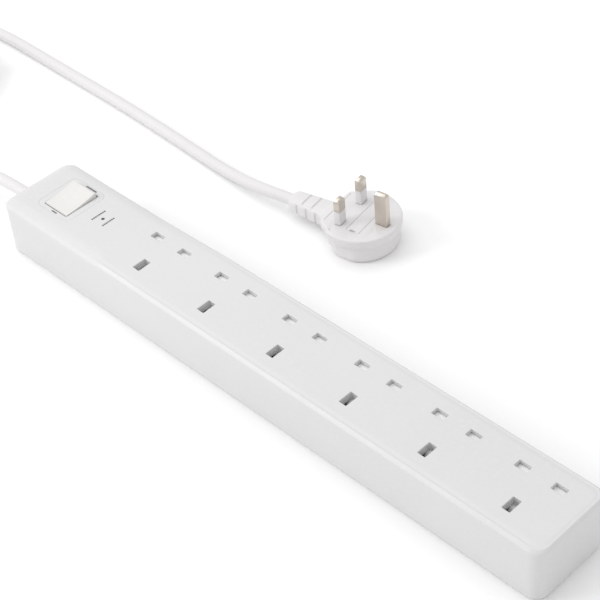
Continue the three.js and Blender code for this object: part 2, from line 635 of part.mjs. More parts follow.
// ---- the cores of the cord, fanned out inside the housing ----
const CORE_START = -186.3;
const OUT_Y = SWITCH.y + TERMINAL.contactY;
const wires = {
  live_wire: [WIRE_BROWN, [
    [CORE_START, 0, 15.6],
    [-185, 0, 15.2],
    [-183.6, 0, 13],
    [-181, 0.4, 10.9],
    [-176, 1.2, 10.6],
    [-170.9, SWITCH.y, 10.6],
  ]],
  neutral_wire: [WIRE_BLUE, [
    [CORE_START, 1.9, 18.3],
    [-185.2, 2.1, 18.1],
    [-183.8, 4, 15],
    [-182.8, 6, 12.1],
    [-179, 8.3, 10.9],
    [-165, 9.6, 10.8],
    [-130, 8.4, 10.5],
    [-112.4, NEUTRAL_RAIL, 9.8],
  ]],
  earth_wire: [WIRE_GREEN, [
    [CORE_START, -1.9, 18.3],
    [-185.2, -2.1, 18.1],
    [-183.8, -4, 15],
    [-182.8, -6.5, 12.1],
    [-179, -9.5, 10.8],
    [-165, -12, 10.6],
    [-130, -11.5, 10],
    [-112.4, EARTH_ROW, 9.4],
  ]],
  switched_wire: [WIRE_BROWN, [
    [-166.1, OUT_Y, 10.6],
    [-158, -5, 10.8],
    [-150, -1, 13.6],
    [-142, 6, 15.6],
    [-133, 13, 14],
    [-123, 16, 10.8],
    [-112.4, LIVE_RAIL, 9.6],
  ]],
};
for (const [name, [material, route]] of Object.entries(wires)) {
  add(name, tube(route, CORE_D, 2 * route.length, 6), material);
}

// ---- the cord: out of the strip, into a tied coil on the floor, and on to the plug ----
const FLOOR_Z = CORD_D / 2 + 0.1;

const stripSide = [
  [-187, 0, CORD_Z],
  [-201, 0, CORD_Z],
  [-216, 0, CORD_Z],
  [-230, 0, 17],
  [-244, 0, 15.4],
  [-258, -0.8, 12.9],
  [-272, -2.6, 10],
  [-286, -5.2, 7.4],
  [-300, -8.4, 5.5],
  [-314, -12, 4.4],
  [-328, -15.4, 4],
  [-341, -18.2, 4.4],
  [-353, -20.2, 5],
];
const plugSide = [
  [-435.4, 58, 10.9],
  [-434.8, 68, 8.8],
  [-432.4, 78, 6.7],
  [-427.4, 88.2, 5],
  [-419.2, 97.4, 4.1],
  [-407.4, 104.6, FLOOR_Z],
  [-393, 108.8, FLOOR_Z],
  [-376, 110.4, FLOOR_Z],
  [-350, 110.4, FLOOR_Z],
  [-320, 110, FLOOR_Z],
  [-290, 109.7, FLOOR_Z],
  [-262, 109.4, FLOOR_Z],
  [-235, 108.6, FLOOR_Z],
  [-208, 107.4, FLOOR_Z],
  [-182, 106, FLOOR_Z],
  [-160, 104.6, 4],
  [-142, 103.6, 5],
  [-126, 103, 6.9],
  [-111, 103.5, 8.6],
  [-102, 104.9, 9],
  [-93, 106.4, 9],
];
add('cord_at_strip', tube(stripSide, CORD_D, 13), CORD_WHITE);
add('cord_at_plug', tube(plugSide, CORD_D, 28), CORD_WHITE);

// the ring that the coil's turns fill
const RING = {
  inner: COIL.mean - (COIL.columns * CORD_D) / 2,
  outer: COIL.mean + (COIL.columns * CORD_D) / 2,
  top: COIL.base + COIL.layers * CORD_D,
};

function coilRing() {
  const section = [
    [RING.inner, COIL.base],
    [RING.outer, COIL.base],
    [RING.outer, RING.top],
    [RING.inner, RING.top],
    [RING.inner, COIL.base],
  ];
  return turned(section, COIL.x, COIL.y, 40);
}
add('cord_coil', coilRing(), CORD_WHITE);

// a flat strap round the bundle of turns
function cordTie() {
  const half = TIE.width / 2;
  const inner = RING.inner - TIE.bulge - GAP;
  const outer = RING.outer + GAP;
  const hole = box(inner, outer, -half - BITE, half + BITE, TIE.band, RING.top + GAP);
  const band = box(inner - TIE.band, outer + TIE.band, -half, half, 0, RING.top + GAP + TIE.band);
  const angle = THREE.MathUtils.degToRad(TIE.angle);
  return cut(band, hole).rotateZ(angle).translate(COIL.x, COIL.y, 0);
}
add('cord_tie', cordTie(), DARK);

// ---- plug: +Y of its own frame runs from the line and neutral pins towards the earth pin ----
const plug = new THREE.Group();
plug.position.set(PLUG.x, PLUG.y, 0);
plug.rotation.z = THREE.MathUtils.degToRad(PLUG.yaw - 90);
lead.add(plug);

// the plan of the plug, shrunk by an inset: a flat cord end, straight flanks and a round far end
function plugOutline(inset) {
  const r = PLUG_ROUND.radius - inset;
  const flat = PLUG.flat + inset;
  const half = PLUG_FLAT_HALF - inset * 0.8;
  const points = [
    [-half + 2.5, flat],
    [half - 2.5, flat],
    [half - 0.6, flat + 0.7],
    [half + 0.4, flat + 2.6],
  ];
  const arcSteps = 18;
  for (let i = 0; i <= arcSteps; i++) {
    const sweep = 180 - 2 * PLUG_ROUND.start;
    const a = THREE.MathUtils.degToRad(PLUG_ROUND.start + (sweep * i) / arcSteps);
    points.push([r * Math.cos(a), PLUG_ROUND.y + r * Math.sin(a)]);
  }
  points.push([-half - 0.4, flat + 2.6], [-half + 0.6, flat + 0.7]);
  return points;
}

function plugBody() {
  // height and inset of each level: a narrower back, a waist to grip, and a full rim at the pin face
  const levels = [
    [0, 3.4],
    [0.8, 2.4],
    [3.5, 1.7],
    [8, 2.4],
    [11.2, 2.2],
    [12.6, 0.2],
    [17.2, 0],
    [PLUG.thick, 0.7],
  ];
  const body = loft(levels.map(([z, inset]) => plugOutline(inset).map(([x, y]) => [x, y, z])));
  const face = PLUG.thick;
  const root = face - PIN_ROOT - GAP;
  const pocket = (x, y, size) => block(x, y, size.x / 2 + GAP, size.y / 2 + GAP, root, face + BITE);
  const { x0, x1, y0, y1, depth } = FUSE_CARRIER;
  return cut(
    body,
    pocket(-HALF_PITCH, 0, LN_PIN),
    pocket(HALF_PITCH, 0, LN_PIN),
    pocket(0, EARTH_PIN.y0, EARTH_PIN),
    box(x0 - GAP, x1 + GAP, y0 - GAP, y1 + GAP, face - depth - GAP, face + BITE),
    box(x0 + 1.2, x1 - 1.2, y0 + 1.4, y1 - 1.4, FUSE_CLIP.z0 - 0.4, face),
  );
}
add('plug_body', plugBody(), CORD_WHITE, plug);

// the ribbed sleeve that lets the cord bend gently at the plug, from [distance, half width, half height]
function plugRelief() {
  const stations = [
    [0, 9.5, 6.2],
    [2.5, 9.4, 6.2],
    [4, 8.4, 5.9],
    [14, 7.7, 5.7],
    [24, 6.9, 5.5],
    [26, 6.9, 5.5],
    [29, 6.1, 5.1],
    [PLUG.relief, 5, 4.3],
  ];
  const rings = stations.map(([s, w, h]) => roundedOutline(w, h, h * 0.8, 4).map(([x, y]) => [x, y, s]));
  const turn = new THREE.Matrix4().makeBasis(
    new THREE.Vector3(1, 0, 0),
    new THREE.Vector3(0, 0, 1),
    new THREE.Vector3(0, -1, 0),
  );
  return loft(rings).applyMatrix4(turn).translate(0, PLUG.flat - GAP, PLUG.thick / 2);
}
add('plug_strain_relief', plugRelief(), CORD_WHITE, plug);

// a rectangular pin with a chamfered tip; a sleeved one is necked down near the plug
function pin(x, y, size, neck) {
  const halfX = size.x / 2;
  const halfY = size.y / 2;
  const face = PLUG.thick;
  const tip = face + size.length;
  const ring = (inset, z) => [
    [-halfX + inset, -halfY + inset, z],
    [halfX - inset, -halfY + inset, z],
    [halfX - inset, halfY - inset, z],
    [-halfX + inset, halfY - inset, z],
  ];
  const shoulders = [
    ring(0, face - GAP),
    ring(neck, face - GAP),
    ring(neck, face + LN_PIN.sleeve + GAP),
    ring(0, face + LN_PIN.sleeve + GAP),
  ];
  const rings = [
    ring(0, face - PIN_ROOT),
    ...(neck ? shoulders : []),
    ring(0, tip - PIN_CHAMFER),
    ring(PIN_CHAMFER * 0.7, tip),
  ];
  return loft(rings).translate(x, y, 0);
}

// the insulating sleeve on the first part of a line or neutral pin
function pinSleeve(x) {
  const face = PLUG.thick;
  const halfX = LN_PIN.x / 2;
  const halfY = LN_PIN.y / 2;
  const wall = PIN_NECK - GAP;
  const bore = block(x, 0, halfX - wall, halfY - wall, face - BITE, face + LN_PIN.sleeve + BITE);
  return cut(block(x, 0, halfX, halfY, face, face + LN_PIN.sleeve), bore);
}

for (const [name, x] of [['line', -HALF_PITCH], ['neutral', HALF_PITCH]]) {
  add(`${name}_pin`, pin(x, 0, LN_PIN, PIN_NECK), NICKEL, plug);
  add(`${name}_pin_sleeve`, pinSleeve(x), CORD_WHITE, plug);
}
add('earth_pin', pin(0, EARTH_PIN.y0, EARTH_PIN, 0), NICKEL, plug);

// the fuse lies in a trough on the underside of its carrier, over two clips
const FUSE_X = (FUSE_CARRIER.x0 + FUSE_CARRIER.x1) / 2;
const FUSE_Y = (FUSE_CARRIER.y0 + FUSE_CARRIER.y1) / 2;

function fuseCarrier() {
  const { x0, x1, y0, y1, depth } = FUSE_CARRIER;
  const face = PLUG.thick;
  const half = FUSE.length / 2 + GAP;
  const side = FUSE.radius + GAP;
  const trough = block(FUSE_X, FUSE_Y, half, side, face - depth - BITE, FUSE_Z);
  const arch = rodX(FUSE_X - half, FUSE_X + half, FUSE_Y, FUSE_Z, side, 16);
  const { length, halfY } = PRY_SLOT;
  const pry = box(x1 - length, x1 + BITE, FUSE_Y - halfY, FUSE_Y + halfY, face - PRY_SLOT.depth, face + BITE);
  return cut(box(x0, x1, y0, y1, face - depth, face), trough, arch, pry);
}
add('fuse_carrier', fuseCarrier(), CORD_WHITE, plug);

const fuse = rodX(FUSE_X - FUSE.length / 2, FUSE_X + FUSE.length / 2, FUSE_Y, FUSE_Z, FUSE.radius);
add('plug_fuse', fuse, CERAMIC, plug);
[-FUSE_CLIP.x, FUSE_CLIP.x].forEach((dx, i) => {
  const { halfX, halfY, z0, z1 } = FUSE_CLIP;
  add(`fuse_clip_${i + 1}`, block(FUSE_X + dx, FUSE_Y, halfX, halfY, z0, z1), BRASS_SHEET, plug);
});

export default lead;
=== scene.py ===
"""The looks of a six-way switched extension lead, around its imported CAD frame.

Outlines are worked out in millimetres and made into meshes in metres, in the frame's own axes:
+X along the strip away from the cord, +Y towards the line and neutral slots, +Z up.
"""

import json
import math

import bmesh
import bpy
from mathutils import Matrix, Quaternion, Vector
from mathutils.geometry import tessellate_polygon


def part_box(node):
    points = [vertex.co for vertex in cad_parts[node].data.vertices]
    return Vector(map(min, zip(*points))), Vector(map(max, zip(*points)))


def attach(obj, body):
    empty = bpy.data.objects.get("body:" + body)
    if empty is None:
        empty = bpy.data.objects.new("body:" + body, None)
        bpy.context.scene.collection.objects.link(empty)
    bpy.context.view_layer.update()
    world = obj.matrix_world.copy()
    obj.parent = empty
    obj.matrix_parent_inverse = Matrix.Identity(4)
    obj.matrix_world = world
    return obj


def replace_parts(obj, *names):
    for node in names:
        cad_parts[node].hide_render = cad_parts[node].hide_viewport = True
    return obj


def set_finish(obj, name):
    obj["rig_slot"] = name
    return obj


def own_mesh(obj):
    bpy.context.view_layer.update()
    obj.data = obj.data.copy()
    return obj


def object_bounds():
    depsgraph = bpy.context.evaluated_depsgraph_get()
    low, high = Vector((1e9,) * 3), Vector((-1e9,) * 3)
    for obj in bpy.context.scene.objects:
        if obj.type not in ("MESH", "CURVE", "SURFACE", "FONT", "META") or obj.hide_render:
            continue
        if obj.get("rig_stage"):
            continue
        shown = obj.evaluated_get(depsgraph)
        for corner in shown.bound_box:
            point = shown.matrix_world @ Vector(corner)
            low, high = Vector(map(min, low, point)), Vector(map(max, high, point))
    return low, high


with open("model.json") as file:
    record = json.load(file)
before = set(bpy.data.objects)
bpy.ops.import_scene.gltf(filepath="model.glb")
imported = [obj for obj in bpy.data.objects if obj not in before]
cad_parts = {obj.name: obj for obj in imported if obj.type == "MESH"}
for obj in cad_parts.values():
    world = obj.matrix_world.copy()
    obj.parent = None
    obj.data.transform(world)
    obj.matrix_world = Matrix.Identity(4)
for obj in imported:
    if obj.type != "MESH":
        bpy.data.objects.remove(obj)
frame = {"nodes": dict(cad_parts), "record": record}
cad_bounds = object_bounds()

MM = 0.001
HOUSING = "housing"
SOCKETS = 6


# ---- places and sizes, from the frame ----
def box_mm(node):
    """The lowest and highest corner of a CAD node, in millimetres."""
    low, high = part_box(node)
    return low / MM, high / MM


def middle_mm(node):
    low, high = box_mm(node)
    return (low + high) / 2


COVER_LOW, COVER_HIGH = box_mm("top_cover")
HALF_LENGTH = COVER_HIGH.x
HALF_WIDTH = COVER_HIGH.y
TOP = COVER_HIGH.z
COVER_FOOT = COVER_LOW.z
CORNER = 7.5  # plan radius of the strip's vertical corners
WALL = 2.2
TOP_WALL = 2.4
CEILING = TOP - TOP_WALL
SOFT_END, CRISP_START = -124, -110  # the soft top edge turns crisp between these
REAR_CRISP_START = -70  # more slowly along the rear
SOCKET_X = [middle_mm(f"shutter_{i + 1}").x for i in range(SOCKETS)]
PIN_ROW, EARTH_ROW = 12, -10.2
HALF_PITCH = 11.115
SLOT = (3.8, 2.35)  # half sizes, inside the bevel
EARTH_SLOT = (2.45, 4.5)
SLOT_BEVEL = 0.4
SHROUD = {"wall": 1.65, "drop": 2.6}
SWITCH = middle_mm("switch_housing")
SWITCH_OPENING, SWITCH_CORNER = (14.27, 15.27), 4.27  # half sizes and corner radius
LAMP = middle_mm("indicator_lens")
LAMP_HOLE = 1.08
SCREW_PLACES = [middle_mm(f"base_screw_{i + 1}") for i in range(6)]
BOARD_POSTS = [(x, y) for x in (-147.5, -124) for y in (14, -14)]
CORD_D = 7.4
CORD_Z = 17.5
CORD_HOLE, CORD_BORE = 6, 5.7  # radii in the end wall, outside and inside
SCREW_POST = {"radius": 3.2, "foot": 4.9, "bore": 1.8, "bore_end": 17}
BOARD_POST = {"radius": 1.8, "foot": 21.9}
POST_CHAMFER = 0.2
POST_ROOT = CEILING + 0.5  # posts start inside the top wall
PRINT_LOW, PRINT_HIGH = 0.002, 0.014  # heights of the printing above the panel


# ---- camera ----
def make_camera():
    place = Vector((0.49745, -0.42194, 0.64888))
    look_at = Vector((-0.03461, 0.05256, 0))
    roll = math.radians(-5.37)
    data = bpy.data.cameras.new("camera")
    data.sensor_width = 36
    data.lens = 101.63
    data.clip_end = 20
    camera = bpy.data.objects.new("camera", data)
    camera.location = place
    turn = (look_at - place).to_track_quat("-Z", "Y") @ Quaternion((0, 0, 1), roll)
    camera.rotation_mode = "QUATERNION"
    camera.rotation_quaternion = turn
    bpy.context.scene.collection.objects.link(camera)
    bpy.context.scene.camera = camera


make_camera()


# ---- materials ----
class Finish:
    """A Principled material with layers of procedural detail in object space."""

    def __init__(self, name, color, roughness, **sockets):
        self.material = bpy.data.materials.new(name)
        self.material.use_nodes = True
        self.tree = self.material.node_tree
        self.shader = self.tree.nodes["Principled BSDF"]
        self.shader.inputs["Base Color"].default_value = (*color, 1)
        self.shader.inputs["Roughness"].default_value = roughness
        for socket, value in sockets.items():
            self.shader.inputs[socket.replace("_", " ")].default_value = value
        self.color = color
        self.roughness = roughness
        self.place = self.tree.nodes.new("ShaderNodeTexCoord").outputs["Object"]
        self.normal = None

    def link(self, output, target):
        self.tree.links.new(output, target)

    def stretched(self, scale):
        """Object space with its axes scaled, for marks that run one way."""
        node = self.tree.nodes.new("ShaderNodeMapping")
        node.inputs["Scale"].default_value = scale
        self.link(self.place, node.inputs["Vector"])
        return node.outputs["Vector"]

    def noise(self, scale, detail=3, place=None):
        node = self.tree.nodes.new("ShaderNodeTexNoise")
        node.inputs["Scale"].default_value = scale
        node.inputs["Detail"].default_value = detail
        self.link(place or self.place, node.inputs["Vector"])
        return node.outputs["Fac"]

    def cells(self, scale, place=None):
        node = self.tree.nodes.new("ShaderNodeTexVoronoi")
        node.inputs["Scale"].default_value = scale
        self.link(place or self.place, node.inputs["Vector"])
        return node.outputs["Distance"]

    def waves(self, scale, direction, distortion=0.0):
        node = self.tree.nodes.new("ShaderNodeTexWave")
        node.bands_direction = direction
        node.inputs["Scale"].default_value = scale
        node.inputs["Distortion"].default_value = distortion
        self.link(self.place, node.inputs["Vector"])
        return node.outputs["Fac"]

    def ranged(self, value, low, high, from_low=0.0, from_high=1.0):
        node = self.tree.nodes.new("ShaderNodeMapRange")
        node.inputs["From Min"].default_value = from_low
        node.inputs["From Max"].default_value = from_high
        node.inputs["To Min"].default_value = low
        node.inputs["To Max"].default_value = high
        self.link(value, node.inputs["Value"])
        return node.outputs["Result"]

    def tint(self, value, other, low=0.35, high=0.65):
        """The base colour goes towards another colour where the value is high."""
        node = self.tree.nodes.new("ShaderNodeMix")
        node.data_type = "RGBA"
        base = self.shader.inputs["Base Color"]
        if base.is_linked:
            self.link(base.links[0].from_socket, node.inputs["A"])
        else:
            node.inputs["A"].default_value = (*self.color, 1)
        node.inputs["B"].default_value = (*other, 1)
        self.link(self.ranged(value, 0, 1, low, high), node.inputs["Factor"])
        self.link(node.outputs["Result"], base)
        return self

    def polish(self, value, spread, low=0.3, high=0.7):
        """The roughness varies by spread about its own value."""
        rough = self.ranged(value, self.roughness - spread, self.roughness + spread, low, high)
        self.link(rough, self.shader.inputs["Roughness"])
        return self

    def relief(self, value, depth_mm, strength=1.0):
        node = self.tree.nodes.new("ShaderNodeBump")
        node.inputs["Strength"].default_value = strength
        node.inputs["Distance"].default_value = depth_mm * MM
        self.link(value, node.inputs["Height"])
        if self.normal is not None:
            self.link(self.normal, node.inputs["Normal"])
        self.normal = node.outputs["Normal"]
        self.link(self.normal, self.shader.inputs["Normal"])
        return self


def scaled(color, factor):
    return tuple(channel * factor for channel in color)


def moulded(name, color, roughness, grain_scale=1900, grain_mm=0.012, **sockets):
    """Injection-moulded plastic: a fine grain, faint flow clouds and a slightly uneven shine."""
    finish = Finish(name, color, roughness, **sockets)
    finish.tint(finish.noise(14, 4), scaled(color, 0.975))
    finish.tint(finish.noise(420, 2), scaled(color, 1.015), 0.5, 0.8)
    finish.polish(finish.noise(38, 4), 0.05)
    finish.relief(finish.noise(grain_scale, 2), grain_mm, 0.35)
    finish.relief(finish.noise(60, 2), 0.02, 0.12)
    return finish


def metal(name, color, roughness, brush=(1, 1, 1), grain_mm=0.006):
    """Plated or rolled metal: fine lines, faint stains and small changes of shine."""
    finish = Finish(name, color, roughness, Metallic=1.0)
    lines = finish.noise(900, 4, finish.stretched(brush))
    finish.tint(finish.noise(95, 4), scaled(color, 0.95))
    finish.polish(lines, 0.09)
    finish.relief(lines, grain_mm, 0.6)
    return finish


def flexible(name, color, roughness, **sockets):
    """Soft PVC: a satin skin with shallow ripples and a faint bloom."""
    finish = Finish(name, color, roughness, **sockets)
    finish.tint(finish.noise(26, 4), scaled(color, 0.98))
    finish.tint(finish.cells(700), scaled(color, 1.012), 0.25, 0.6)
    finish.polish(finish.noise(120, 3), 0.05)
    finish.relief(finish.noise(160, 2), 0.02, 0.12)
    finish.relief(finish.noise(2400, 1), 0.008, 0.3)
    return finish


def strap_weave():
    finish = Finish("tie_weave", (0.035, 0.035, 0.04), 0.85, Sheen_Weight=0.35, Sheen_Roughness=0.6)
    across = finish.waves(420, "X", 0.6)
    up = finish.waves(420, "Z", 0.6)
    finish.tint(across, (0.075, 0.075, 0.085), 0.45, 0.9)
    finish.relief(across, 0.12, 0.8)
    finish.relief(up, 0.12, 0.8)
    return finish


def circuit_board():
    """Green solder mask with the pale shine of copper tracks under it."""
    finish = Finish("board_mask", (0.03, 0.16, 0.06), 0.35)
    tracks = finish.waves(55, "Y", 1.5)
    finish.tint(tracks, (0.07, 0.3, 0.1), 0.62, 0.68)
    finish.relief(tracks, 0.03, 0.5)
    finish.polish(finish.noise(70, 3), 0.06)
    return finish


def earth_core():
    """Green insulation with its yellow stripes."""
    finish = flexible("wire_green", (0.09, 0.3, 0.06), 0.45)
    finish.tint(finish.waves(90, "Y", 0.4), (0.75, 0.66, 0.05), 0.56, 0.6)
    return finish


WHITE = (0.685, 0.682, 0.687)
FINISHES = {
    "cover_plastic": moulded("cover_plastic", WHITE, 0.42),
    "base_plastic": moulded("base_plastic", (0.66, 0.66, 0.665), 0.55, 1300, 0.02),
    "rocker_plastic": moulded("rocker_plastic", (0.735, 0.727, 0.71), 0.3, 1900, 0.004),
    # The shutters are white plastic, painted lighter than the cover's white: painted light where they
    # sit in the shade of their slots.
    "shutter_plastic": moulded("shutter_plastic", (0.9, 0.9, 0.91), 0.4),
    "nylon": moulded("nylon", (0.6, 0.6, 0.55), 0.5, 900, 0.02, Subsurface_Weight=0.1),
    "brass": metal("brass", (0.78, 0.56, 0.26), 0.32, (1, 14, 14)),
    "steel": metal("steel", (0.62, 0.62, 0.63), 0.34, (1, 1, 6)),
    "nickel": metal("nickel", (0.64, 0.585, 0.52), 0.32, (3, 3, 26), 0.004),
    "flex_plastic": flexible("flex_plastic", (0.72, 0.706, 0.711), 0.44),
    "tie_black": strap_weave(),
    "lens_dark": moulded("lens_dark", (0.035, 0.03, 0.032), 0.12, 1500, 0.002, Coat_Weight=0.6),
    "ceramic": moulded("ceramic", (0.72, 0.68, 0.58), 0.28, 800, 0.01),
    "board_green": circuit_board(),
    "varistor_blue": moulded("varistor_blue", (0.03, 0.1, 0.32), 0.3, 260, 0.05),
    "wire_brown": flexible("wire_brown", (0.16, 0.06, 0.025), 0.45),
    "wire_blue": flexible("wire_blue", (0.025, 0.1, 0.36), 0.45),
    "wire_green": earth_core(),
}
PRINT_GREY = moulded("print_grey", (0.17, 0.17, 0.18), 0.6, 2600, 0.004)


def dress(piece, slot):
    """Gives a piece the finish of a material slot."""
    piece.data.materials.clear()
    piece.data.materials.append(FINISHES[slot].material)
    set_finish(piece, slot)
    return piece


for part in frame["record"]["subparts"]:
    dress(frame["nodes"][part["node"]], part["material_slot"])


# ---- mesh tools, in millimetres ----
class Skin:
    """Points and the faces between them."""

    def __init__(self):
        self.points = []
        self.faces = []

    def loop(self, points):
        first = len(self.points)
        self.points.extend(Vector(p) for p in points)
        return list(range(first, len(self.points)))

    def bridge(self, a, b, leave_out=()):
        """Faces between two loops, except after the points that are left out."""
        for i in range(len(a)):
            j = (i + 1) % len(a)
            if i not in leave_out:
                self.faces.append((a[i], a[j], b[j], b[i]))

    def chain(self, loops, closed=False):
        """Bridges each loop to the next, and closes the tube on itself if asked."""
        for a, b in zip(loops, loops[1:]):
            self.bridge(a, b)
        if closed:
            self.bridge(loops[-1], loops[0])

    def fill(self, *loops):
        """A face inside the first loop, with the further loops as its holes."""
        order = [i for loop in loops for i in loop]
        for triangle in tessellate_polygon([[self.points[i] for i in loop] for loop in loops]):
            self.faces.append(tuple(order[i] for i in triangle))

    def rings(self, rings):
        """A closed skin over a stack of rings of the same number of points."""
        loops = [self.loop(ring) for ring in rings]
        self.chain(loops)
        self.fill(loops[0])
        self.fill(loops[-1])

    def piece(self, name, slot, body=HOUSING, place=None, sharp=40):
        """The mesh object, dressed and riding on its body."""
        mesh = bpy.data.meshes.new(name)
        matrix = place or Matrix.Identity(4)
        mesh.from_pydata([(matrix @ p) * MM for p in self.points], [], self.faces)
        model = bmesh.new()
        model.from_mesh(mesh)
        bmesh.ops.remove_doubles(model, verts=model.verts, dist=0.001 * MM)
        bmesh.ops.recalc_face_normals(model, faces=model.faces)
        model.to_mesh(mesh)
        model.free()
        return finished(bpy.data.objects.new(name, mesh), slot, body, sharp)


def finished(piece, slot, body, sharp):
    """Links a mesh object, shades it smooth between its sharp edges, dresses it and lets it ride."""
    piece.data.shade_smooth()
    piece.data.set_sharp_from_angle(angle=math.radians(sharp))
    bpy.context.scene.collection.objects.link(piece)
    dress(piece, slot)
    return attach(piece, body)


def smoothstep(value, low, high):
    t = min(max((value - low) / (high - low), 0), 1)
    return t * t * (3 - 2 * t)


def mixed(a, b, share):
    return a + (b - a) * share


def quarter(steps):
    """(1 - cos, sin) at even steps over a quarter turn: the inset and rise of a rounded edge."""
    angles = [math.pi / 2 * i / steps for i in range(steps + 1)]
    return [(1 - math.cos(a), math.sin(a)) for a in angles]


def circle(x, y, radius, steps=24):
    angles = [2 * math.pi * i / steps for i in range(steps)]
    return [(x + radius * math.cos(a), y + radius * math.sin(a)) for a in angles]


def rounded(half_x, half_y, radius, steps=5, x=0.0, y=0.0):
    """A rectangle with round corners about a centre, counter-clockwise."""
    points = []
    for sx, sy, start in ((1, 1, 0), (-1, 1, 90), (-1, -1, 180), (1, -1, 270)):
        for i in range(steps + 1):
            a = math.radians(start + 90 * i / steps)
            points.append((
                x + sx * (half_x - radius) + radius * math.cos(a),
                y + sy * (half_y - radius) + radius * math.sin(a),
            ))
    return points


def grown(half, radius, x, y, steps=3):
    """A rectangle with round corners, as a function of how far it is grown."""
    return lambda more: rounded(half[0] + more, half[1] + more, radius + more, steps, x, y)


def grown_circle(x, y, radius, steps=24):
    return lambda more: circle(x, y, radius + more, steps)


def at_height(outline, z):
    return [(x, y, z) for x, y in outline]


def softened(node, width, body=HOUSING, segments=2, least_angle=50):
    """A copy of a CAD node with its sharp edges rounded, which stands for it."""
    source = frame["nodes"][node]
    mesh = source.data.copy()
    model = bmesh.new()
    model.from_mesh(mesh)
    bmesh.ops.remove_doubles(model, verts=model.verts, dist=0.005 * MM)
    flat = math.radians(1)
    bmesh.ops.dissolve_limit(model, angle_limit=flat, verts=model.verts, edges=model.edges)
    limit = math.radians(least_angle)
    sharp = [e for e in model.edges if e.is_manifold and e.calc_face_angle() > limit]
    bmesh.ops.bevel(
        model, geom=sharp, offset=width * MM, segments=segments, profile=0.5,
        affect="EDGES", clamp_overlap=True,
    )
    model.to_mesh(mesh)
    model.free()
    name = f"{node}_finished"
    piece = finished(bpy.data.objects.new(name, mesh), source["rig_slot"], body, 35)
    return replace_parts(piece, node)


# ---- the cord, its coil and its tie ----
FLOOR_Z = CORD_D / 2 + 0.1
COIL = {"x": -385, "y": 29, "mean": 43, "base": 1.3}
COIL_SEATS = [(1, 0), (0, 0), (-1, 0), (-1, 1), (0, 1), (1, 1)]  # (column, layer) of each turn
COIL_TURNS = 5.25
MOVE_SHARE = 0.26  # of a turn, to move over to the next seat
MOVE_START = 0.72  # of the first turn
MOVE_EARLIER = 0.12  # each later turn moves this much sooner, so that no two turns meet

STRIP_SIDE = [
    (-187, 0, CORD_Z),
    (-201, 0, CORD_Z),
    (-216, 0, CORD_Z),
    (-230, 0, 17),
    (-244, 0, 15.4),
    (-258, -0.8, 12.9),
    (-272, -2.6, 10),
    (-286, -5.2, 7.4),
    (-300, -8.4, 5.5),
    (-314, -12, 4.4),
    (-328, -15.4, 4),
    (-341, -18.2, 4.4),
    (-353, -20.2, 5),
    (-368, -21.2, 5),
]
PLUG_SIDE = [
    (-435.4, 43, 12),
    (-435.4, 58, 10.9),
    (-434.8, 68, 8.8),
    (-432.4, 78, 6.7),
    (-427.4, 88.2, 5),
    (-419.2, 97.4, 4.1),
    (-407.4, 104.6, FLOOR_Z),
    (-393, 108.8, FLOOR_Z),
    (-376, 110.4, FLOOR_Z),
    (-350, 110.4, FLOOR_Z),
    (-320, 110, FLOOR_Z),
    (-290, 109.7, FLOOR_Z),
    (-262, 109.4, FLOOR_Z),
    (-235, 108.6, FLOOR_Z),
    (-208, 107.4, FLOOR_Z),
    (-182, 106, FLOOR_Z),
    (-160, 104.6, 4),
    (-142, 103.6, 5),
    (-126, 103, 6.9),
    (-111, 103.5, 8.6),
    (-102, 104.9, 9),
    (-93, 106.4, 9),
]


def coil_point(turns):
    """A point of the coil, so many turns clockwise from its start next to the strip."""
    index = min(int(turns), len(COIL_SEATS) - 1)
    phase = turns - index
    start = MOVE_START - MOVE_EARLIER * index
    share = smoothstep(phase, start, start + MOVE_SHARE)
    here, there = COIL_SEATS[index], COIL_SEATS[min(index + 1, len(COIL_SEATS) - 1)]
    radius = COIL["mean"] + CORD_D * mixed(here[0], there[0], share)
    z = COIL["base"] + CORD_D * (0.5 + mixed(here[1], there[1], share))
    a = -math.pi / 2 - 2 * math.pi * turns
    return COIL["x"] + radius * math.cos(a), COIL["y"] + radius * math.sin(a), z


def through(points, steps):
    """A smooth line through the points, with so many steps between each two."""
    points = [Vector(p) for p in points]
    ends = [2 * points[0] - points[1], *points, 2 * points[-1] - points[-2]]
    line = []
    for p0, p1, p2, p3 in zip(ends, ends[1:], ends[2:], ends[3:]):
        for i in range(steps):
            t = i / steps
            line.append(0.5 * (
                2 * p1 + (p2 - p0) * t + (2 * p0 - 5 * p1 + 4 * p2 - p3) * t**2
                + (3 * p1 - p0 - 3 * p2 + p3) * t**3
            ))
    return [*line, points[-1]]


def cord_piece():
    """The whole cord as one curve, from inside the strip to inside the plug's sleeve."""
    per_turn = 24
    steps = round(COIL_TURNS * per_turn)
    coil = [coil_point(i / per_turn) for i in range(steps + 1)]
    line = through([*STRIP_SIDE, *coil, *PLUG_SIDE], 4)
    data = bpy.data.curves.new("cord", "CURVE")
    data.dimensions = "3D"
    data.bevel_depth = CORD_D / 2 * MM
    data.bevel_resolution = 6
    data.use_fill_caps = True
    spline = data.splines.new("POLY")
    spline.points.add(len(line) - 1)
    for point, place in zip(spline.points, line):
        point.co = (*(place * MM), 1)
    spline.use_smooth = True
    cord = bpy.data.objects.new("cord", data)
    bpy.context.scene.collection.objects.link(cord)
    dress(cord, "flex_plastic")
    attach(cord, HOUSING)
    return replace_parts(cord, "cord_at_strip", "cord_coil", "cord_at_plug")


cord = cord_piece()


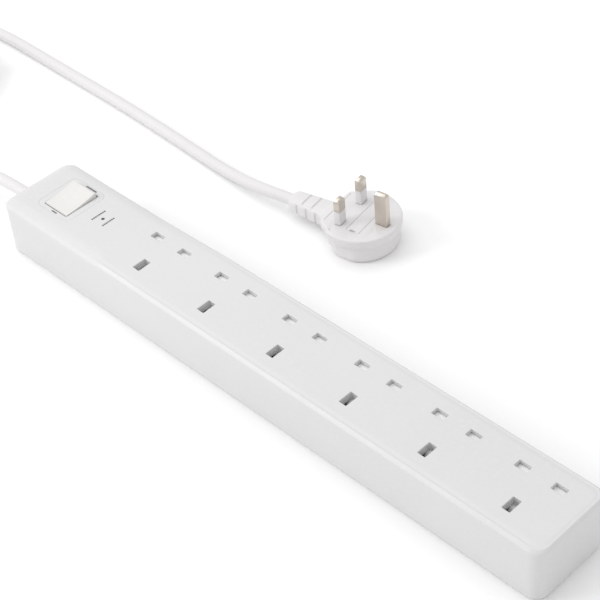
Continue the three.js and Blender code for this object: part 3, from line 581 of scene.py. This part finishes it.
# ---- the top cover ----
CORNERS = ((1, 1, 0), (-1, 1, 90), (-1, -1, 180), (1, -1, 270))
CORNER_STEPS = 8
SIDE_X = (-184, -160, -140, -130, *range(-126, -106, 2), -104, -60, 0, 60, 120, 184)
END_SHARES = (0.75, 0.25, -0.25, -0.75)
LEFT_START = 2 * CORNER_STEPS + 1 + len(SIDE_X)
LEFT_STATIONS = range(LEFT_START, LEFT_START + len(END_SHARES) + 1)  # along the end wall with the cord


def stations():
    """The places round the outline, as (side of X, side of Y, turn, x on a side, share on an end)."""
    places = []
    for sx, sy, start in CORNERS:
        for i in range(CORNER_STEPS + 1):
            places.append((sx, sy, math.radians(start + 90 * i / CORNER_STEPS), None, None))
        if start == 0:
            places += [(0, 1, 0, x, None) for x in reversed(SIDE_X)]
        elif start == 90:
            places += [(-1, 0, 0, None, share) for share in END_SHARES]
        elif start == 180:
            places += [(0, -1, 0, x, None) for x in SIDE_X]
        else:
            places += [(1, 0, 0, None, -share) for share in END_SHARES]
    return places


STATIONS = stations()


def crispness(place):
    """0 where the top edge is soft, round the switch, and 1 along the sockets."""
    sx, sy, _, x, _ = place
    end = CRISP_START if sy < 0 else REAR_CRISP_START
    return smoothstep(x if x is not None else sx * HALF_LENGTH, SOFT_END, end)


# The top edge from the wall inwards, as (inset, drop below the top) of each ring. Along the sockets a
# crease, a facet, a slight valley and a slope up to the panel; round the switch a crease and an arc.
SIDE_EDGE = (
    (0, 3.1), (0, 2.45), (0.02, 2.22), (0.1, 2.04), (0.24, 1.87), (0.95, 1.16), (1.78, 0.35),
    (2.02, 0.24), (2.25, 0.24), (2.6, 0.34), (2.95, 0.4), (3.3, 0.35), (4.0, 0.21), (4.75, 0.08),
    (5.15, 0.01), (5.4, 0), (5.7, 0),
)
END_EDGE = (
    (0, 3.1), (0, 1.75), (0.03, 1.5), (0.12, 1.3), (0.3, 1.1), (0.6, 0.8), (1.0, 0.4), (1.25, 0.22),
    (1.5, 0.16), (1.75, 0.19), (2.0, 0.23), (2.3, 0.2), (2.8, 0.13), (3.3, 0.05), (3.6, 0.01),
    (3.8, 0), (4.1, 0),
)


def soft_edge():
    """A short round at the crease, then an arc that runs level into the top."""
    width, drop = 9.1, 3.2
    crease_end = 1.05
    start = 2 * math.atan(drop / width)
    radius = width / math.sin(start)
    rings = [(0, 5.2), (0, 4.4), (0.05, 4.0), (0.2, 3.62), (0.55, 3.16)]
    steps = len(SIDE_EDGE) - len(rings) - 1
    first = math.asin((width - crease_end) / radius)
    for i in range(steps + 1):
        a = first * (1 - i / steps)
        rings.append((width - radius * math.sin(a), radius * (1 - math.cos(a))))
    return rings


EDGE_STEPS = list(zip(soft_edge(), SIDE_EDGE, END_EDGE))


def edge_step(place, step):
    """The inset and drop of one ring of the top edge at a place."""
    sx, _, turn, _, share = place
    far_end = 0
    if sx == 1:
        far_end = 1 if share is not None else math.cos(turn) ** 2
    soft, side, end = EDGE_STEPS[step]
    crisp = crispness(place)
    return [mixed(a, mixed(b, c, far_end), crisp) for a, b, c in zip(soft, side, end)]


def outline_point(place, inset, wall=0.0):
    """A point of the outline moved in; past the wall its corners shrink less than it moves."""
    sx, sy, turn, x, share = place
    radius = CORNER - wall - (inset - wall) * mixed(0.62, 0.55, crispness(place))
    if x is not None:
        return x, sy * (HALF_WIDTH - inset)
    if share is not None:
        return sx * (HALF_LENGTH - inset), share * (HALF_WIDTH - inset - radius)
    return (
        sx * (HALF_LENGTH - inset - radius) + radius * math.cos(turn),
        sy * (HALF_WIDTH - inset - radius) + radius * math.sin(turn),
    )


def cover_ring(skin, inset, z, wall=0.0):
    return skin.loop((*outline_point(place, inset, wall), z) for place in STATIONS)


def edge_rings(skin, wall, top, reach, fall, steps):
    """The rings of the top edge inside a wall, with their own shares of inset and drop."""
    rings = []
    for step in steps:
        points = []
        for place in STATIONS:
            more, drop = edge_step(place, step)
            points.append((*outline_point(place, wall + more * reach, wall), top - drop * fall))
        rings.append(skin.loop(points))
    return rings


def outer_rings(skin):
    return [
        cover_ring(skin, 0.25, COVER_FOOT),
        cover_ring(skin, 0, COVER_FOOT + 0.25),
        *edge_rings(skin, 0, TOP, 1, 1, range(len(SIDE_EDGE))),
    ]


def inner_rings(skin):
    steps = range(3, len(SIDE_EDGE), 3)
    foot = cover_ring(skin, WALL, COVER_FOOT, WALL)
    return [foot, *edge_rings(skin, WALL, CEILING, 0.8, 0.3, steps)]


def opening(skin, outline, bottom, edge, flat=0.2):
    """The loops of an opening in the panel, from the flat round its rounded edge to its bottom.

    The outline is a function of how far it is grown.
    """
    loops = [skin.loop(at_height(outline(edge + flat), TOP))]
    for out, up in quarter(3):
        loops.append(skin.loop(at_height(outline(edge * (1 - up)), TOP - edge * out)))
    loops.append(skin.loop(at_height(outline(0), TOP - edge - 0.3)))
    loops.append(skin.loop(at_height(outline(0), bottom)))
    skin.chain(loops)
    return loops


def cord_hole(skin, ring_low, ring_high, wall_x, radius, steps):
    """The left end wall between two rings, with a round hole; gives the loop of the hole."""
    low = [ring_low[i] for i in LEFT_STATIONS]
    high = [ring_high[i] for i in LEFT_STATIONS]
    hole = skin.loop((wall_x, y, z) for y, z in circle(0, CORD_Z, radius, steps))
    skin.fill(low + high[::-1], hole)
    return hole


def socket_openings(skin):
    """The slots of every socket; gives their loops in the panel and in the ceiling."""
    corner = 0.35
    shroud_z = CEILING - SHROUD["drop"]
    panel_holes, ceiling_holes = [], []
    for x in SOCKET_X:
        for slot_x in (x - HALF_PITCH, x + HALF_PITCH):
            loops = opening(skin, grown(SLOT, corner, slot_x, PIN_ROW), CEILING, SLOT_BEVEL)
            panel_holes.append(loops[0])
            ceiling_holes.append(loops[-1])
        earth = grown(EARTH_SLOT, corner, x, EARTH_ROW)
        loops = opening(skin, earth, shroud_z, SLOT_BEVEL)
        low = skin.loop(at_height(earth(SHROUD["wall"]), shroud_z))
        root = skin.loop(at_height(earth(SHROUD["wall"]), CEILING))
        skin.chain([loops[-1], low, root])
        panel_holes.append(loops[0])
        ceiling_holes.append(root)
    return panel_holes, ceiling_holes


def posts(skin):
    """The posts under the ceiling, for the base screws and the surge board."""
    radius, foot, bore = SCREW_POST["radius"], SCREW_POST["foot"], SCREW_POST["bore"]
    for x, y, _ in SCREW_PLACES:
        skin.rings([
            at_height(circle(x, y, radius), POST_ROOT),
            at_height(circle(x, y, radius), foot + POST_CHAMFER),
            at_height(circle(x, y, radius - POST_CHAMFER), foot),
            at_height(circle(x, y, bore), foot),
            at_height(circle(x, y, bore), SCREW_POST["bore_end"]),
        ])
    radius, foot = BOARD_POST["radius"], BOARD_POST["foot"]
    for x, y in BOARD_POSTS:
        skin.rings([
            at_height(circle(x, y, radius, 16), POST_ROOT),
            at_height(circle(x, y, radius, 16), foot + POST_CHAMFER),
            at_height(circle(x, y, radius - POST_CHAMFER, 16), foot),
        ])


def top_cover():
    skin = Skin()
    left_wall = LEFT_STATIONS[:-1]
    outer, inner = outer_rings(skin), inner_rings(skin)
    skin.bridge(inner[0], outer[0])
    skin.bridge(outer[0], outer[1])
    skin.bridge(outer[1], outer[2], left_wall)
    skin.chain(outer[2:])
    skin.bridge(inner[0], inner[1], left_wall)
    skin.chain(inner[1:])

    steps = 28
    mouth = cord_hole(skin, outer[1], outer[2], -HALF_LENGTH, CORD_HOLE, steps)
    back = cord_hole(skin, inner[0], inner[1], -HALF_LENGTH + WALL, CORD_BORE, steps)
    rim = skin.loop((-HALF_LENGTH + 0.3, y, z) for y, z in circle(0, CORD_Z, CORD_BORE, steps))
    skin.chain([mouth, rim, back])

    panel_holes, ceiling_holes = socket_openings(skin)
    switch = grown(SWITCH_OPENING, SWITCH_CORNER, SWITCH.x, SWITCH.y, 8)
    lamp = grown_circle(LAMP.x, LAMP.y, LAMP_HOLE)
    for outline, edge in ((switch, 0.1), (lamp, 0.12)):
        loops = opening(skin, outline, CEILING, edge, 0.1)
        panel_holes.append(loops[0])
        ceiling_holes.append(loops[-1])
    skin.fill(outer[-1], *panel_holes)
    skin.fill(inner[-1], *ceiling_holes)
    posts(skin)
    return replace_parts(skin.piece("cover_shell", "cover_plastic"), "top_cover")


top_cover()


# ---- the switch, its bezel and the marks round it ----
PIVOT_Z, PIVOT_BORE, BORE_END = 33, 1.8, 12.4
TERMINAL_Y = (0, -7)
TERMINAL_SLOT = (2.3, 0.7)  # half sizes


def switch_housing():
    """The housing's rounded bezel lies flush in the cover; below it are the shoulder and the well."""
    def loop(half_x, half_y, radius, z):
        outline = rounded(half_x, half_y, radius, 8, SWITCH.x, SWITCH.y)
        return skin.loop(at_height(outline, z))

    skin = Skin()
    bottom, floor, shoulder, top = 14, 15.5, 31.8, CEILING - 0.3
    mouth_x, mouth_y = 10, 12.25
    loops = [
        loop(13, 14.2, 0.8, bottom), loop(13, 14.2, 0.8, shoulder),
        loop(15.5, 15.6, 0.8, shoulder), loop(15.5, 15.6, 0.8, top),
        loop(14.22, 15.22, 4.22, top), loop(14.22, 15.22, 4.22, TOP - 0.2),
        loop(14.19, 15.19, 4.19, TOP - 0.07), loop(14.08, 15.08, 4.08, TOP),
        loop(13.7, 14.7, 3.7, TOP), loop(mouth_x + 0.75, mouth_y + 0.75, 1.55, TOP),
    ]
    for out, up in quarter(4):
        grow = 0.55 * (1 - up)
        loops.append(loop(mouth_x + grow, mouth_y + grow, 0.8 + grow, TOP - 0.55 * out))
    loops.append(loop(mouth_x, mouth_y, 0.8, TOP - 0.9))
    skin.chain(loops)
    rim, bed = loops[-1], loop(mouth_x, mouth_y, 0.8, floor)
    # the faces after these points are the side walls, which hold the rocker's pins
    sides = {len(rim) - 1: 1, len(rim) // 2 - 1: -1}
    skin.bridge(rim, bed, sides)
    for i, side in sides.items():
        j = (i + 1) % len(rim)
        bore = [
            skin.loop(
                (SWITCH.x + side * x, SWITCH.y + y, z) for y, z in circle(0, PIVOT_Z, PIVOT_BORE)
            )
            for x in (mouth_x, BORE_END)
        ]
        skin.fill([rim[i], rim[j], bed[j], bed[i]], bore[0])
        skin.bridge(*bore)
        skin.fill(bore[1])
    slots = []
    for y in TERMINAL_Y:
        outline = rounded(*TERMINAL_SLOT, 0.1, 1, SWITCH.x, SWITCH.y + y)
        slots.append([skin.loop(at_height(outline, z)) for z in (floor, bottom)])
        skin.bridge(*slots[-1])
    skin.fill(bed, *[upper for upper, _ in slots])
    skin.fill(loops[0], *[lower for _, lower in slots])
    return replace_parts(skin.piece("switch_frame", "cover_plastic"), "switch_housing")


def printed(name, outlines):
    """Flat generic marks that lie on the panel, about a hundredth of a millimetre thick."""
    skin = Skin()
    for outline in outlines:
        low = skin.loop(at_height(outline, TOP + PRINT_LOW))
        high = skin.loop(at_height(outline, TOP + PRINT_HIGH))
        skin.bridge(low, high)
        skin.fill(low)
        skin.fill(high)
    piece = skin.piece(name, "cover_plastic")
    piece.data.materials[0] = PRINT_GREY.material
    return piece


def bar(x, y, length, width, along_y=False):
    half = (width / 2, length / 2) if along_y else (length / 2, width / 2)
    return rounded(half[0], half[1], min(half) * 0.9, 3, x, y)


def marks():
    """Plain bars and dashes stand where the real strip has its printing; they spell nothing."""
    printed("switch_marks", [
        bar(SWITCH.x + 1.9, SWITCH.y + 13.75, 9.4, 1.1),
        bar(SWITCH.x + 1.2, SWITCH.y - 13.95, 4.6, 1.0),
    ])
    dash, width = 1.35, 1.45
    beside = []
    for x, low, high in ((LAMP.x - 4.4, -5.0, 5.7), (LAMP.x + 4.6, -4.6, 4.9)):
        pieces = round((high - low) / dash)
        pitch = (high - low) / pieces
        for i in range(pieces):
            length = pitch * (0.9 if i % 3 else 0.76)
            beside.append(bar(x, LAMP.y + low + pitch * (i + 0.5), length, width, True))
    printed("indicator_marks", beside)


# ---- the plug, in its own frame: +Y from the line and neutral pins to the earth pin ----
def plug_frame():
    line, neutral = middle_mm("line_pin"), middle_mm("neutral_pin")
    across = (neutral - line).normalized()
    across.z = 0
    up = Vector((0, 0, 1))
    turn = Matrix((across, up.cross(across), up)).transposed().to_4x4()
    middle = (line + neutral) / 2
    return Matrix.Translation((middle.x, middle.y, 0)) @ turn


PLUG = plug_frame()
PLUG_FACE = 18
PLUG_FLAT = -12  # Y of the side that the cord enters
PLUG_ROUND = (24.4, 7, -18)  # radius of the broad end, Y of its centre, and where its arc starts
LN_PIN = (6.35, 4, 17.7)
EARTH_PIN = (4, 8, 22.7)
EARTH_Y = 22.23
PIN_ROOT = 8  # length of a pin inside the plug
SLEEVE = 9.2
CARRIER = (-13.5, 15, 6.5, 14.9)
CARRIER_DEPTH = 9


def plug_outline(inset, corner=3.0):
    """The plan of the plug: a flat side for the cord, straight flanks and a round far end."""
    radius, centre_y, start = PLUG_ROUND
    r = radius - inset
    flat = PLUG_FLAT + inset
    half = 16.5 - inset * 0.8 + 0.4
    points = []
    for i in range(7):
        a = math.radians(-90 + 72 * i / 6)
        points.append((half - corner + corner * math.cos(a), flat + corner + corner * math.sin(a)))
    steps = 56
    for i in range(steps + 1):
        a = math.radians(start + (180 - 2 * start) * i / steps)
        points.append((r * math.cos(a), centre_y + r * math.sin(a)))
    points += [(-x, y) for x, y in points[6::-1]]
    return points


# height and inset of each level: a narrower back, a waist to grip, and a full rim at the pin face
PLUG_LEVELS = (
    (0, 4.2), (0.15, 3.4), (0.6, 2.7), (1.2, 2.3), (2.2, 1.95), (3.6, 1.8), (5.5, 2.0), (7.5, 2.35),
    (9.3, 2.5), (10.6, 2.35), (11.5, 1.8), (12.1, 1.05), (12.55, 0.5), (13.1, 0.2), (14, 0.08),
    (16.4, 0), (16.9, 0.04), (17.4, 0.22), (17.75, 0.5), (17.94, 0.9), (18, 1.4), (18, 1.8),
)


def gripped(inset, z):
    """A level of the plug, with the hollow that fingers grip on each flank."""
    hollow = 2.3 * math.sin(math.pi * smoothstep(z, -3.5, 13.2)) ** 1.2 if z < 13.2 else 0
    points = []
    for outer, inner in zip(plug_outline(inset), plug_outline(inset + 3)):
        share = hollow / 3 * (1 - smoothstep(outer[1], 9, 15.5))
        points.append((mixed(outer[0], inner[0], share), mixed(outer[1], inner[1], share), z))
    return points


def pocket(skin, outline, levels):
    """A recess in the pin face, from (growth, height) levels; gives the loop of its mouth."""
    loops = [skin.loop(at_height(outline(grow), z)) for grow, z in levels]
    skin.chain(loops)
    skin.fill(loops[-1])
    return loops[0]


def plug_body():
    skin = Skin()
    loops = [skin.loop(gripped(inset, z)) for z, inset in PLUG_LEVELS]
    skin.chain(loops)
    skin.fill(loops[0])
    z = PLUG_FACE
    mouths = []
    root = z - 8.3
    for x, y, size in ((-HALF_PITCH, 0, LN_PIN), (HALF_PITCH, 0, LN_PIN), (0, EARTH_Y, EARTH_PIN)):
        outline = grown((size[0] / 2, size[1] / 2), 0.3, x, y)
        mouths.append(pocket(skin, outline, ((0.32, z), (0.16, z - 0.05), (0.1, z - 0.2), (0.1, root))))
    x0, x1, y0, y1 = CARRIER
    middle = ((x0 + x1) / 2, (y0 + y1) / 2)
    half = ((x1 - x0) / 2, (y1 - y0) / 2)
    mouth = grown(half, 0.5, *middle)
    trough = rounded(half[0] - 1.2, half[1] - 1.4, 0.4, 3, *middle)
    trough_floor = 3.4
    bed = z - CARRIER_DEPTH - 0.3
    loops_in = [skin.loop(at_height(mouth(grow), level)) for grow, level in (
        (0.38, z), (0.24, z - 0.05), (0.18, z - 0.2), (0.18, bed),
    )]
    loops_in += [skin.loop(at_height(trough, bed)), skin.loop(at_height(trough, trough_floor))]
    skin.chain(loops_in)
    skin.fill(loops_in[-1])
    mouths.append(loops_in[0])
    # a seam beside the cord, ejector marks and a gate mark
    seam = grown((14.2, 0.16), 0.15, 0, PLUG_FLAT + 2.6)
    mouths.append(pocket(skin, seam, ((0.12, z), (0, z - 0.1), (0, z - 0.28))))
    for x, y, radius in ((19.2, -1.1, 1.25), (6.9, 20.6, 0.7), (-18.8, 1.2, 1.25)):
        mark = grown_circle(x, y, radius, 20)
        mouths.append(pocket(skin, mark, ((0.12, z), (0.04, z - 0.04), (0, z - 0.16))))
    skin.fill(loops[-1], *mouths)
    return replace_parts(skin.piece("plug_moulding", "flex_plastic", place=PLUG), "plug_body")


RELIEF_STATIONS = (  # distance from the plug, half width, half height
    (0, 9.4, 6.2), (1.2, 9.5, 6.25), (2.6, 9.35, 6.2), (3.4, 9.0, 6.1), (4, 8.45, 5.95), (5, 8.15, 5.85),
    (14, 7.7, 5.7), (24, 6.9, 5.5), (26.6, 6.85, 5.45), (27.8, 6.7, 5.3), (28.8, 6.2, 5.0),
    (29.5, 5.6, 4.7), (30, 4.9, 4.3),
)
RELIEF_SLOTS = (  # (distance, on the face and back instead of the sides)
    (8.2, False), (11.6, True), (15.2, False), (18.8, True), (22.4, False),
)


def relief_size(s):
    for (s0, w0, h0), (s1, w1, h1) in zip(RELIEF_STATIONS, RELIEF_STATIONS[1:]):
        if s <= s1:
            share = (s - s0) / (s1 - s0)
            return mixed(w0, w1, share), mixed(h0, h1, share)
    return RELIEF_STATIONS[-1][1:]


def strain_relief():
    """The tapered sleeve where the cord leaves the plug, with staggered slots that let it bend."""
    half_slot, wall, depth = 0.5, 0.45, 0.7
    cuts = []
    for s, _ in RELIEF_SLOTS:
        cuts += [s - half_slot - wall, s - half_slot, s + half_slot, s + half_slot + wall]
    stops = sorted([s for s, _, _ in RELIEF_STATIONS] + cuts)
    corners = 7
    skin = Skin()
    rings = []
    for s in stops:
        w, h = relief_size(s)
        ring = rounded(w, h, h * 0.8, corners)
        for slot_s, on_face in RELIEF_SLOTS:
            if abs(s - slot_s) > half_slot + 0.01:
                continue
            dented = []
            for x, z in ring:
                side = abs(x) / w
                share = smoothstep(0.82 - side, 0, 0.2) if on_face else smoothstep(side - 0.86, 0, 0.1)
                if on_face:
                    dented.append((x, z - math.copysign(depth * share, z)))
                else:
                    dented.append((x - math.copysign(depth * share, x), z))
            ring = dented
        rings.append([(x, PLUG_FLAT - 0.3 - s, PLUG_FACE / 2 + z) for x, z in ring])
    skin.rings(rings)
    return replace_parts(skin.piece("plug_sleeve", "flex_plastic", place=PLUG), "plug_strain_relief")


def pin_rings(x, y, size, low, tip_inset=1.0, chamfer=1.4):
    """A rectangular pin with soft edges and a bevelled tip."""
    tip = PLUG_FACE + size[2]
    half_x, half_y = size[0] / 2, size[1] / 2

    def ring(inset, z, radius=0.25):
        return at_height(rounded(half_x - inset, half_y - inset, radius, 3, x, y), z)

    return ring, [
        ring(0, low), ring(0, tip - chamfer - 0.25), ring(0, tip - chamfer - 0.1),
        ring(0.08, tip - chamfer + 0.08), ring(tip_inset - 0.1, tip - 0.12), ring(tip_inset + 0.08, tip),
    ]


def pins():
    for side, name in ((-1, "line_pin"), (1, "neutral_pin")):
        x = side * HALF_PITCH
        skin = Skin()
        low, top = PLUG_FACE, PLUG_FACE + SLEEVE
        ring, rings = pin_rings(x, 0, LN_PIN, top + 0.3)
        necked = [ring(0.8, low - PIN_ROOT), ring(0.8, top + 0.1), ring(0.1, top + 0.1)]
        skin.rings([*necked, *rings])
        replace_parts(skin.piece(f"{name}_metal", "nickel", place=PLUG, sharp=30), name)
        skin = Skin()
        loops = [skin.loop(r) for r in (
            ring(0.5, low), ring(0, low), ring(0, top - 0.15), ring(0.12, top), ring(0.5, top),
        )]
        skin.chain(loops, closed=True)
        sleeve = skin.piece(f"{name}_jacket", "flex_plastic", place=PLUG, sharp=50)
        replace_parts(sleeve, f"{name}_sleeve")
    skin = Skin()
    skin.rings(pin_rings(0, EARTH_Y, EARTH_PIN, PLUG_FACE - PIN_ROOT)[1])
    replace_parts(skin.piece("earth_pin_metal", "nickel", place=PLUG, sharp=30), "earth_pin")


# ---- the strap round the coil ----
def coil_tie():
    """A hook and loop strap: a soft band that wraps round the coil's turns."""
    width, thick = 12, 1.0
    inner, outer = 31.0, 54.4  # radii from the middle of the coil
    top = COIL["base"] + 2 * CORD_D + 0.3
    half_r, half_z = (outer - inner) / 2, (top - thick) / 2
    centre = Vector(((outer + inner) / 2, 0, thick + half_z))
    turn = Matrix.Rotation(math.radians(60), 4, "Z")
    place = Matrix.Translation((COIL["x"], COIL["y"], 0)) @ turn

    def section(grow):
        return rounded(half_r + grow, half_z + grow, 2.2 + grow, 6)

    profile = [
        (0, -width / 2 + 0.25), (0.1, -width / 2 + 0.05), (0.5, -width / 2),
        (thick - 0.1, -width / 2 + 0.05), (thick, -width / 2 + 0.25),
        (thick, width / 2 - 0.25), (thick - 0.1, width / 2 - 0.05),
        (0.5, width / 2), (0.1, width / 2 - 0.05), (0, width / 2 - 0.25),
    ]
    skin = Skin()
    loops = [
        skin.loop((centre.x + x, across, centre.z + z) for x, z in section(grow))
        for grow, across in profile
    ]
    skin.chain(loops, closed=True)
    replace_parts(skin.piece("strap", "tie_black", place=place), "cord_tie")


switch_housing()
softened("switch_rocker", 0.3, "switch_rocker", 3, 20)
marks()
plug_body()
strain_relief()
pins()
coil_tie()
softened("fuse_carrier", 0.25, "fuse_carrier", 2, 50)
for i in range(SOCKETS):
    softened(f"shutter_{i + 1}", 0.2, f"shutter_{i + 1}", 2, 50)
softened("base_cover", 0.3, segments=1)
softened("cord_gland", 0.4)
softened("cord_clamp", 0.4)


# ---- springs, screws and the lamp's lens ----
SPRING = {"radius": 1.6, "wire": 0.5, "z": 31.0, "from": 15.8, "to": 24.0, "turns": 5, "per_turn": 20}


def shutter_spring(number, x):
    """A compression spring between the wall and the shutter, made at rest and riding on the housing."""
    skin = Skin()
    half_wire = SPRING["wire"] / 2
    start, end = SPRING["from"] + half_wire, SPRING["to"] - half_wire
    steps = SPRING["turns"] * SPRING["per_turn"]
    loops = []
    for i in range(steps + 1):
        a = 2 * math.pi * i / SPRING["per_turn"]
        out = Vector((math.cos(a), 0, math.sin(a)))
        middle = Vector((x, mixed(start, end, smoothstep(i / steps, -0.12, 1.12)), SPRING["z"]))
        middle += out * (SPRING["radius"] - half_wire / 2)
        ring = [2 * math.pi * k / 8 for k in range(8)]
        loops.append(skin.loop(
            middle + (out * math.cos(b) + Vector((0, math.sin(b), 0))) * half_wire for b in ring
        ))
    skin.chain(loops)
    skin.fill(loops[0])
    skin.fill(loops[-1])
    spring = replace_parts(skin.piece(f"spring_wire_{number}", "steel"), f"shutter_spring_{number}")
    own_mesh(spring)


def cross(half_length, half_width):
    """The outline of a cross recess, counter-clockwise."""
    arm = [(half_length, -half_width), (half_length, half_width), (half_width, half_width)]
    points = []
    for turn in range(4):
        c, s = round(math.cos(turn * math.pi / 2)), round(math.sin(turn * math.pi / 2))
        points += [(c * px - s * py, s * px + c * py) for px, py in arm]
    return points


def screw(node, x, y, head_z, up, head, shaft, head_height, length):
    """A pan head screw with a cross recess and a threaded shaft; up is 1 when its tip points up."""
    skin = Skin()

    def level(outline, depth):
        return skin.loop(at_height([(x + px, y + py) for px, py in outline], head_z + up * depth))

    root, tip = shaft * 0.8, shaft * 0.1
    reach, width, deep = head * 0.55, head * 0.13, head_height * 0.6  # of the recess
    floor = level(cross(reach * 0.55, width * 0.7), deep)
    rim = level(cross(reach, width), 0.02)
    face = level(circle(0, 0, head * 0.78), 0)
    skin.fill(floor)
    skin.bridge(floor, rim)
    skin.fill(face, rim)
    loops = [face]
    for share, drop in ((0.9, 0.12), (0.975, 0.34), (1, 0.6), (1, 0.94), (0.98, 1)):
        loops.append(level(circle(0, 0, head * share), head_height * drop))
    loops.append(level(circle(0, 0, root), head_height))
    pitch = shaft * 0.55
    threads = int((length - head_height - shaft * 1.4) / pitch)
    for i in range(threads):
        start = head_height + 0.1 + i * pitch
        loops.append(level(circle(0, 0, root), start))
        loops.append(level(circle(0, 0, shaft), start + pitch * 0.5))
    loops.append(level(circle(0, 0, root), head_height + 0.1 + threads * pitch))
    loops.append(level(circle(0, 0, tip), length))
    skin.chain(loops)
    skin.fill(loops[-1])
    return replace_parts(skin.piece(f"{node}_cut", "steel", sharp=35), node)


def lamp_lens():
    """The light pipe of the indicator, with a collar under the cover and a slightly domed end."""
    foot, collar_foot, collar_top, shoulder, dome = 25.9, 31.5, 33.3, 35.55, 0.4
    pipe, collar = 1, 2
    profile = [
        (pipe, foot), (pipe, collar_foot), (collar, collar_foot),
        (collar, collar_top), (pipe, collar_top), (pipe, shoulder),
    ]
    profile += [(math.cos(a), shoulder + dome * math.sin(a)) for a in (0.35, 0.7, 1.0, 1.25)]
    skin = Skin()
    skin.rings([at_height(circle(LAMP.x, LAMP.y, radius), z) for radius, z in profile])
    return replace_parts(skin.piece("lens_dome", "lens_dark"), "indicator_lens")


for number, x in enumerate(SOCKET_X, 1):
    shutter_spring(number, x)

for number, (x, y, _) in enumerate(SCREW_PLACES, 1):
    screw(
        f"base_screw_{number}", x, y, head_z=0.4, up=1,
        head=3.1, shaft=1.5, head_height=1.9, length=15.5,
    )

for number, y in ((1, -10.6), (2, 10.6)):
    screw(
        f"clamp_screw_{number}", -191.8, y, head_z=25.9, up=-1,
        head=2.5, shaft=1.2, head_height=1.6, length=14,
    )

lamp_lens()


# ---- stage: a pale floor and soft light ----
def make_stage():
    floor = Skin()
    floor.fill(floor.loop(at_height(circle(0, 0, 6000, 48), 0)))
    mesh = bpy.data.meshes.new("floor")
    mesh.from_pydata([p * MM for p in floor.points], [], floor.faces)
    piece = bpy.data.objects.new("floor", mesh)
    bpy.context.scene.collection.objects.link(piece)
    finish = Finish("floor_paper", (0.96, 0.96, 0.962), 0.9)
    finish.tint(finish.noise(9, 4), (0.95, 0.95, 0.952))
    finish.relief(finish.noise(1500, 2), 0.02, 0.3)
    mesh.materials.append(finish.material)
    piece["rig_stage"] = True


def softbox(name, place, size, watts, look_at=(0, 0.02, 0)):
    data = bpy.data.lights.new(name, "AREA")
    data.shape = "DISK"
    data.size = size
    data.energy = watts
    light = bpy.data.objects.new(name, data)
    light.location = place
    light.rotation_mode = "QUATERNION"
    light.rotation_quaternion = (Vector(look_at) - Vector(place)).to_track_quat("-Z", "Y")
    bpy.context.scene.collection.objects.link(light)


def make_light():
    world = bpy.data.worlds.new("studio")
    world.use_nodes = True
    world.node_tree.nodes["Background"].inputs["Color"].default_value = (1, 1, 1, 1)
    world.node_tree.nodes["Background"].inputs["Strength"].default_value = 0.8
    bpy.context.scene.world = world
    bpy.context.scene.view_settings.view_transform = "Standard"
    softbox("overhead", (-0.75, 0.15, 1.9), 2.0, 11)
    softbox("key", (-1.15, -1.25, 1.15), 0.9, 11.5)


make_stage()
make_light()

boxes = {"cad": cad_bounds, "visual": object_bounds()}
{key: [list(corner) for corner in box] for key, box in boxes.items()}
